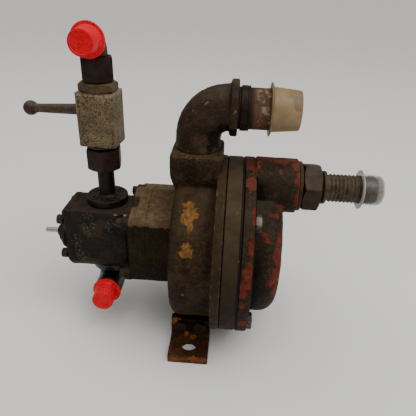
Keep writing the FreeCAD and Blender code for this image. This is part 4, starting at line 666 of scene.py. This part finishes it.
nut_finish = Finish("nut_steel", metallic=0.25, specular_ior_level=0.25)
f = nut_finish
steel = f.mix(f.cloud(90, 6, 0.7).ramp(0.35, 0.7), (0.011, 0.004, 0.003), (0.030, 0.014, 0.009))
steel = f.mix(f.cloud(280, 5, 0.7).ramp(0.58, 0.74) * 0.6, steel, (0.055, 0.037, 0.023))
f.wear(steel, f.cloud(150) * 0.3 + 0.38, f.cloud(350, 5, 0.65), 0.0003, 0.5)
column = Vector((PORTS_X, MOTOR_Y, 0))
lower_nut = hex_bar("lower_nut", 41.0, (PORTS_X, MOTOR_Y, 230.5), UP, 28.0, 10.0, True)
bore_steps = [(229, 11.2), (233.5, 11.2), (233.5, 16.2), (260, 16.2)]
combine(lower_nut, lathe("bore", column, UP, bore_steps, 64), "DIFFERENCE")
ease(lower_nut, 1.1, 3)
hand_over(lower_nut, f, "pump", "oil_pipe", "lower_union_nut")
dress(f, "lower_valve_end")
upper_nut = hex_bar("upper_nut", 36.0, (PORTS_X, MOTOR_Y, 341.95), UP, 28.55, 20.0, True)
bore_steps = [(341, 15.3), (362.5, 15.3), (362.5, 12.2), (372, 12.2)]
combine(upper_nut, lathe("bore", column, UP, bore_steps, 64), "DIFFERENCE")
ease(upper_nut, 1.2, 3)
hand_over(upper_nut, f, "pump", "fitting_steel", "upper_union_nut")

# Block ball valve. A sawn square block, zinc plated and pitted all over, with a hexagon end piece screwed in
# above. It stands a little askew on the nuts. The ball, seats, stem and gland are inside and behind it.

ASKEW = -5.0
UPRIGHT_EDGE = 0.05
askew = Matrix.Translation(column * 0.001) @ turned(ASKEW, "Z") @ Matrix.Translation(-column * 0.001)
bpy.ops.object.select_all(action="DESELECT")
bpy.ops.mesh.primitive_cube_add(size=1.0, location=metres(PORTS_X, MOTOR_Y, STEM_Z))
valve_block = bpy.context.object
valve_block.name = "valve_block"
valve_block.scale = (0.0465, 0.042, 0.0655)
alone(valve_block)
bpy.ops.object.transform_apply(location=True, rotation=True, scale=True)
bpy.ops.object.mode_set(mode="EDIT")
bpy.ops.mesh.select_mode(type="EDGE")
bpy.ops.mesh.select_all(action="DESELECT")
bpy.ops.object.mode_set(mode="OBJECT")
for edge in valve_block.data.edges:
    a, b = (valve_block.data.vertices[i].co for i in edge.vertices)
    edge.select = abs(a.z - b.z) > UPRIGHT_EDGE
bpy.ops.object.mode_set(mode="EDIT")
bpy.ops.mesh.bevel(offset=0.003, segments=1)
bpy.ops.object.mode_set(mode="OBJECT")
combine(valve_block, prism("cavity", 64, 17.0, (PORTS_X, MOTOR_Y, 250), UP, 100), "DIFFERENCE")
combine(valve_block, prism("stem_hole", 40, 6.05, (PORTS_X, MOTOR_Y, STEM_Z), TO_BACK, 30), "DIFFERENCE")
ease(valve_block, 0.7, 3)
valve_block.data.transform(askew)
zinc = Finish("valve_zinc", metallic=0.2, specular_ior_level=0.3)
f = zinc
plate = f.mix(f.cloud(45, 6, 0.7).ramp(0.3, 0.7), (0.122, 0.088, 0.040), (0.225, 0.170, 0.086))
# Painted light: the side that faces +X gets a greyer tone, as a lit side.
lit_side_tone = f.mix(f.cloud(50, 5).ramp(0.35, 0.65), (0.13, 0.090, 0.043), (0.22, 0.155, 0.078))
plate = f.mix(f.facing("X").ramp(0.4, 0.9), plate, lit_side_tone)
pits = f.cloud(360, 3, 0.6).ramp(0.54, 0.59) | f.cloud(800, 3, 0.6).ramp(0.54, 0.60)
pits = pits * f.cloud(90, 4, 0.6).ramp(0.22, 0.36)
plate = f.mix(f.height().ramp(0.3265, 0.3278) * 0.8, plate, (0.30, 0.24, 0.15))
plate = f.mix(pits * 0.85, plate, (0.026, 0.017, 0.008))
plate = f.mix(f.cloud(24, 5, 0.7).ramp(0.52, 0.66) * 0.5, plate, (0.055, 0.036, 0.016))
plate = f.mix(f.height().ramp(0.272, 0.262) * 0.5, plate, (0.034, 0.023, 0.012))
f.wear(plate, f.cloud(120) * 0.3 + 0.42, f.cloud(400, 5) - pits * 0.8, 0.0003, 0.7)
hand_over(valve_block, f, "pump", "valve_zinc", "valve_body")
dress(f, "valve_gland")

end_piece = hex_bar("valve_top_end", 42.0, (PORTS_X, MOTOR_Y, 329.95), UP, 11.0, 0.0, True)
plug_steps = [(315.7, 16.9), (331, 16.9), (331, 15), (355, 15), (355.95, 14)]
combine(end_piece, lathe("plug", column, UP, plug_steps, 64), "UNION")
combine(end_piece, lathe("bore", column, UP, [(314, 8.5), (350, 8.5), (357, 11.5)], 48), "DIFFERENCE")
ease(end_piece, 0.45)
end_piece.data.transform(askew)
end_finish = Finish("valve_end_steel", metallic=0.2, specular_ior_level=0.3)
f = end_finish
steel = f.mix(f.cloud(90, 6, 0.7).ramp(0.35, 0.7), (0.040, 0.024, 0.009), (0.100, 0.062, 0.026))
# Painted light: upward-facing surfaces are painted lighter.
steel = f.mix(f.facing().ramp(0.5, 0.95) * 0.7, steel, (0.13, 0.092, 0.045))
f.wear(steel, f.cloud(150) * 0.3 + 0.4, f.cloud(350, 5, 0.65), 0.0003, 0.5)
hand_over(end_piece, f, "pump", "fitting_steel", "upper_valve_end")
plastic = Finish("seat_plastic")
f = plastic
f.wear(f.mix(f.cloud(200), (0.72, 0.72, 0.68), (0.85, 0.85, 0.82)), f.cloud(300) * 0.1 + 0.35)
dress(f, "valve_seats")
dress(ground, "valve_stem", "valve_ball")
dress(bolt_finish, "lever_nut")

# Valve lever. A forged hub and tapered rod with a ball end, nutted to the valve's stem at the back. It is
# bare steel gone brown with lighter specks and rusty at the ball; its upper side is painted lighter as
# painted light.

LEVER_TILT = -2.6
LEVER_Y = 45
lever = lathe("lever", (PORTS_X, 40, STEM_Z), TO_BACK, [(0, 12), (1, 13), (9, 13), (10, 12)], 72)
rod_steps = [(-2, 8.1), (14, 7.8), (60, 6.7), (88, 5.9), (92.5, 6.1)]
for degrees in (40, 55, 70, 90, 110, 130, 150, 168):
    angle = math.radians(degrees)
    rod_steps.append((102 - 10 * math.cos(angle), 10 * math.sin(angle)))
combine(lever, lathe("rod", (PORTS_X - 10, LEVER_Y, STEM_Z), TO_MOTOR, rod_steps, 48), "UNION")
combine(lever, prism("stem_hole", 40, 6.0, (PORTS_X, 38, STEM_Z), TO_BACK, 14), "DIFFERENCE")
soften(lever, 0.0006, 6)
alone(lever)
bpy.ops.object.shade_smooth()
stem = Matrix.Translation(metres(PORTS_X, LEVER_Y, STEM_Z))
lever.data.transform(askew @ stem @ turned(LEVER_TILT, "Y") @ stem.inverted())
lever_finish = Finish("lever_rust", metallic=0.2, specular_ior_level=0.25)
f = lever_finish
rust = f.mix(f.cloud(120, 6, 0.7).ramp(0.35, 0.7), (0.040, 0.021, 0.013), (0.100, 0.066, 0.046))
rust = f.mix(f.blot((-234, 54, 297), (13, 14, 14), 0.5), rust, (0.040, 0.021, 0.014))
rust = f.mix(f.cloud(260, 5, 0.7).ramp(0.55, 0.68) * 0.6, rust, (0.14, 0.095, 0.066))
rust = f.mix(f.blot((-142, 40, 297), (16, 12, 12), 1.0) * 0.6, rust, (0.12, 0.052, 0.020))
# Painted light: the upper side of the lever is painted lighter.
rust = f.mix(f.facing().ramp(0.3, 0.9) * 0.5, rust, (0.12, 0.086, 0.064))
f.wear(rust, f.cloud(150) * 0.3 + 0.4, f.cloud(300, 6, 0.7), 0.0004, 0.6)
hand_over(lever, f, "valve_handle", "lever_rust", "valve_lever")

# Swivel elbow. A forged elbow held by the upper nut, with a hexagon and a thread at its mouth under the
# red cap. Bare steel, oily and brown.

elbow_steel = Finish("elbow_steel", metallic=0.2, specular_ior_level=0.25)
f = elbow_steel
steel = f.mix(f.cloud(90, 6, 0.7).ramp(0.35, 0.7), (0.020, 0.012, 0.009), (0.060, 0.042, 0.032))
f.wear(steel, f.cloud(150) * 0.3 + 0.38, f.cloud(300, 5, 0.65), 0.0003, 0.5)
hand_over(cast_skin("top_elbow", 0.0006, 3), f, "pump", "fitting_steel", "top_elbow")

# Red caps. Two identical moulded plastic caps with a flared rim and a flat end that is dished a little,
# pushed over the oil threads. Smooth and bright, with a moulding gate in the middle of the end, which is
# painted a darker red as painted shade.

red = Finish("red_plastic", specular_ior_level=0.12)
f = red
shade = f.mix(f.cloud(60, 4, 0.6).ramp(0.35, 0.7), (0.70, 0.006, 0.016), (0.84, 0.016, 0.030))
# Painted shade: the flat end, facing the front, is painted a darker red.
shaded_end_red = f.mix(f.cloud(90, 5, 0.7).ramp(0.4, 0.65), (0.56, 0.002, 0.009), (0.70, 0.004, 0.014))
shade = f.mix(f.facing("Y").ramp(-0.8, -0.97), shade, shaded_end_red)
specks = f.cloud(380, 3, 0.6).ramp(0.60, 0.66) * f.cloud(60, 4).ramp(0.42, 0.56)
shade = f.mix(specks * 0.75, shade, (0.16, 0.006, 0.005))
f.wear(shade, f.cloud(200) * 0.2 + 0.28, f.cloud(260, 3, 0.5), 0.0003, 0.25)
cap_steps = [(23.9, 12.7), (14, 13.8), (0, 13.8), (0, 19.4), (0.6, 20), (1.6, 20), (2.2, 19.2), (2.8, 16.6),
             (4.2, 15.5), (24.2, 14.5), (25.0, 14.2), (25.5, 13.4), (25.5, 12.0), (25.0, 11.4), (25.0, 2.2),
             (25.4, 1.8), (25.4, 0.4)]
for name, place in (("red_cap_top", (PORTS_X, -10, 390.5)), ("red_cap_bottom", (PORTS_X, -27, 56.5))):
    cap = lathe(name + "_piece", place, TO_FRONT, cap_steps, 96)
    smooth_below(cap, 35)
    hand_over(cap, f, name, "red_plastic", name)

# Discharge elbow, bushing and nipple. A rough cast elbow screwed into the boss, with a beaded band round
# its mouth, a thin black bushing in the mouth and a rusty pipe nipple with pale scale on it.

elbow_iron = Finish("elbow_iron", specular_ior_level=0.06)
f = elbow_iron
iron = f.mix(f.cloud(45, 6, 0.7).ramp(0.35, 0.7), (0.019, 0.011, 0.007), (0.048, 0.029, 0.017))
dust = f.facing().ramp(0.2, 0.9) * f.cloud(60, 6, 0.7).ramp(0.3, 0.6)
iron = f.mix(dust * 0.4, iron, (0.074, 0.054, 0.038))
spots = f.cloud(110, 3, 0.6).ramp(0.68, 0.72)
iron = f.mix(spots * 0.8, iron, (0.17, 0.13, 0.09))
# Painted shadow: the end of the elbow at its mouth is painted nearly black, in the gap round the bushing.
iron = f.mix(f.height("X").ramp(0.0452, 0.0464) * 0.9, iron, (0.003, 0.002, 0.001))
# Painted shade: the inside of the bend, under the outlet arm, is painted nearly black.
bend_shade = f.blot((40, 0, 280), (31, 60, 29), 0.9, 45)
iron = f.mix(bend_shade * 0.85, iron, (0.003, 0.002, 0.001))
iron = f.mix(f.edges(0.515, 0.56) * 0.4, iron, (0.085, 0.052, 0.030))
iron = f.mix(f.cloud(320, 4, 0.7).ramp(0.5, 0.72) * 0.5, iron, (0.085, 0.058, 0.038))
foot_dust = f.height().ramp(0.281, 0.272) * f.cloud(80, 5, 0.7).ramp(0.35, 0.6)
iron = f.mix(foot_dust * 0.6, iron, (0.095, 0.066, 0.034))
f.wear(iron, f.cloud(60) * 0.3 + 0.38, f.cloud(130, 6, 0.7) + f.cloud(500, 3) * 0.5, 0.0012, 0.9)
hand_over(cast_skin("discharge_elbow", 0.0010, 9, 0.0005, 0.008), f, "pump", "elbow_iron", "discharge_elbow")
END_FACE_SIDES = 8
bushing_steps = [(39.5, 23.9), (39.5, 26.05), (46.6, 26.05), (46.7, 24.6), (48.9, 24.6), (49.1, 25.8),
                 (49.6, 26.3), (56.4, 26.3), (56.8, 25.7), (57.3, 25.7), (57.7, 26.3), (58.9, 26.3),
                 (59.5, 25.7), (59.5, 23.9)]
bushing = lathe("bushing", (0, 0, OUTLET_Z), TO_HOSE, bushing_steps, 96)
alone(bushing)
bpy.ops.object.mode_set(mode="EDIT")
bpy.ops.mesh.select_all(action="DESELECT")
bpy.ops.object.mode_set(mode="OBJECT")
for face in bushing.data.polygons:
    if len(face.vertices) > END_FACE_SIDES:
        face.select = True
bpy.ops.object.mode_set(mode="EDIT")
bpy.ops.mesh.bridge_edge_loops()
bpy.ops.mesh.select_all(action="SELECT")
bpy.ops.mesh.normals_make_consistent(inside=False)
bpy.ops.object.mode_set(mode="OBJECT")
smooth_below(bushing, 30)
oily = Finish("bushing_black", specular_ior_level=0.12)
f = oily
black = f.mix(f.cloud(90, 5, 0.7).ramp(0.4, 0.7), (0.007, 0.004, 0.002), (0.026, 0.014, 0.008))
f.wear(black, f.cloud(200) * 0.25 + 0.35, f.cloud(300, 5), 0.0004, 0.6)
hand_over(bushing, f, "pump", "elbow_iron", "reducer_bushing")
nipple_finish = Finish("pipe_rust", specular_ior_level=0.18)
f = nipple_finish
rust = f.mix(f.cloud(70, 6, 0.7).ramp(0.35, 0.65), (0.036, 0.015, 0.007), (0.090, 0.046, 0.023))
scale = f.cloud(62, 6, 0.75).ramp(0.49, 0.56) * f.height("X").ramp(0.064, 0.071)
pale_scale = f.mix(f.cloud(160).ramp(0.4, 0.65), (0.19, 0.115, 0.074), (0.30, 0.20, 0.135))
rust = f.mix(scale * 0.85, rust, pale_scale)
rust = f.mix(f.cloud(260, 4, 0.7).ramp(0.56, 0.68) * 0.7, rust, (0.035, 0.014, 0.008))
rust = f.mix(f.height("X").ramp(0.0655, 0.0615) * 0.75, rust, (0.014, 0.008, 0.005))
f.wear(rust, f.cloud(90) * 0.3 + 0.5, f.cloud(160, 6, 0.7), 0.0007, 0.7)
dress(f, "pipe_nipple")

# White cap. A push-on cap of soft plastic on the discharge nipple, with a thin flared rim. It has yellowed
# and carries grease smears and scuffs.

white = Finish("white_plastic", specular_ior_level=0.45)
f = white
milk = f.mix(f.cloud(30, 5, 0.6).ramp(0.35, 0.7), (0.165, 0.108, 0.044), (0.265, 0.184, 0.086))
milk = f.mix(f.cloud(70, 6, 0.75).ramp(0.55, 0.68) * 0.55, milk, (0.105, 0.060, 0.022))
# Painted shade: the lower side of the cap is painted darker.
milk = f.mix(f.height().ramp(0.312, 0.296) * 0.35, milk, (0.15, 0.10, 0.045))
rim = f.height("X").ramp(0.0875, 0.0845) | f.height("X").ramp(0.1165, 0.118)
milk = f.mix(rim * f.cloud(160, 5, 0.7).ramp(0.35, 0.6) * 0.6, milk, (0.10, 0.062, 0.025))
milk = f.mix(f.blot((112, -15, 335), (5, 20, 8), 1.4) * 0.5, milk, (0.085, 0.052, 0.022))
f.wear(milk, f.cloud(150) * 0.25 + 0.4, f.cloud(200, 4), 0.0003, 0.35)
cap_steps = [(33.9, 21.6), (10.5, 24.45), (0, 24.45), (0, 30.4), (0.5, 31), (1.4, 31), (2.0, 30), (2.8, 27.2),
             (4.5, 26.0), (34.3, 23.2), (35.1, 22.8), (35.5, 22.0), (35.5, 20.0), (34.9, 19.2), (34.9, 1.0)]
white_cap = lathe("white_cap_piece", (83, 0, OUTLET_Z), TO_HOSE, cap_steps, 112)
smooth_below(white_cap, 35)
hand_over(white_cap, f, "white_cap", "white_plastic", "white_cap")

# Hose tail and clear cap. A brass fitting screwed into the inlet boss: hexagon, collar, bead and twelve
# barbs, dull with dust. A thin translucent cap with a flared rim covers the end of the tail.

BARBS = 12
FIRST_BARB = 166.0
BARB_PITCH = 4.75
tail_finish = Finish("hose_tail_metal", metallic=0.15, specular_ior_level=0.2)
f = tail_finish
brass = f.mix(f.cloud(60, 6, 0.7).ramp(0.35, 0.7), (0.017, 0.009, 0.004), (0.046, 0.027, 0.012))
rubbed = f.mix(f.cloud(140, 5).ramp(0.35, 0.65), (0.040, 0.025, 0.014), (0.115, 0.080, 0.052))
brass = f.mix(f.height("X").ramp(0.155, 0.165) * 0.7, brass, rubbed)
dust = f.facing().ramp(0.3, 0.95) * f.cloud(60, 5).ramp(0.3, 0.6)
brass = f.mix(dust * 0.4, brass, (0.10, 0.072, 0.044))
# Painted shade: the steep backs of the barbs and the end of the tail under the clear cap are painted nearly
# black.
groove_and_cap_shade = f.height("X").ramp(0.163, 0.172) * f.facing("X").ramp(0.25, 0.6)
groove_and_cap_shade = groove_and_cap_shade | (f.height("X").ramp(0.2035, 0.2065) * 0.9)
brass = f.mix(groove_and_cap_shade * 0.8, brass, (0.010, 0.006, 0.004))
f.wear(brass, f.cloud(120) * 0.3 + 0.42, f.cloud(260, 5, 0.7), 0.0004, 0.6)
tail_steps = [(102, 13), (102, 22.6), (103.6, 24.05), (126, 24.05), (126, 31), (126.6, 31.5), (130.4, 31.5),
              (130.5, 24.15), (134, 24.15), (154, 19.2), (157, 18), (158, 20.6), (158.6, 21), (161.4, 21),
              (162, 20.6), (163, 16.4)]
for i in range(BARBS):
    start = FIRST_BARB + BARB_PITCH * i
    tail_steps += [(start, 16.5), (start + 1.9, 17.7), (start + 2.3, 17.9), (start + 2.6, 17.7),
                   (start + 2.9, 16.5)]
tail_steps += [(224.1, 16.4), (224.5, 16.0), (224.5, 13)]
tail = lathe("hose_tail_piece", (0, 0, INLET_Z), TO_HOSE, tail_steps, 96)
combine(tail, hex_bar("grip", 55.0, (132, 0, INLET_Z), TO_HOSE, 22.0, 13.0, True), "UNION")
combine(tail, prism("bore", 64, 13.0, (100, 0, INLET_Z), TO_HOSE, 126.0), "DIFFERENCE")
smooth_below(tail, 30)
hand_over(tail, f, "pump", "hose_tail_metal", "hose_tail")

clear = Finish("clear_plastic", specular_ior_level=0.5, ior=1.46)
f = clear
cloudy = f.mix(f.cloud(50, 5).ramp(0.35, 0.7), (0.16, 0.135, 0.115), (0.30, 0.27, 0.24))
# Painted highlight: the flared rim and the rounded end are painted bright.
rim_highlight = f.height("X").ramp(0.2085, 0.2065) | f.height("X").ramp(0.229, 0.232)
cloudy = f.mix(rim_highlight, cloudy, (0.46, 0.43, 0.40))
f.wear(cloudy, f.cloud(120) * 0.25 + 0.2, f.cloud(180, 4), 0.0004, 0.4)
# The same rim and end are made more opaque, so the painted highlight stands out.
rim = f.height("X").ramp(0.2085, 0.2065) | (f.height("X").ramp(0.2275, 0.2310) * 0.7)
f.feed(f.shader.inputs["Alpha"], f.cloud(90, 4).ramp(0.4, 0.7) * 0.22 + 0.16 + rim * 0.55)
cap_steps = [(28.2, 10.0), (26.4, 14.2), (22.4, 18.2), (0, 18.2), (0, 24.0), (0.5, 24.6), (1.2, 24.6),
             (1.8, 23.6), (2.6, 20.8), (4.0, 19.9), (21.5, 19.4), (24.5, 18.6), (27.2, 16.4), (28.8, 13.4),
             (29.4, 11.0), (29.4, 1.0)]
clear_cap = lathe("clear_cap_piece", (204.5, 0, INLET_Z), TO_HOSE, cap_steps, 96)
smooth_below(clear_cap, 40)
hand_over(clear_cap, f, "clear_cap", "clear_plastic", "clear_cap")
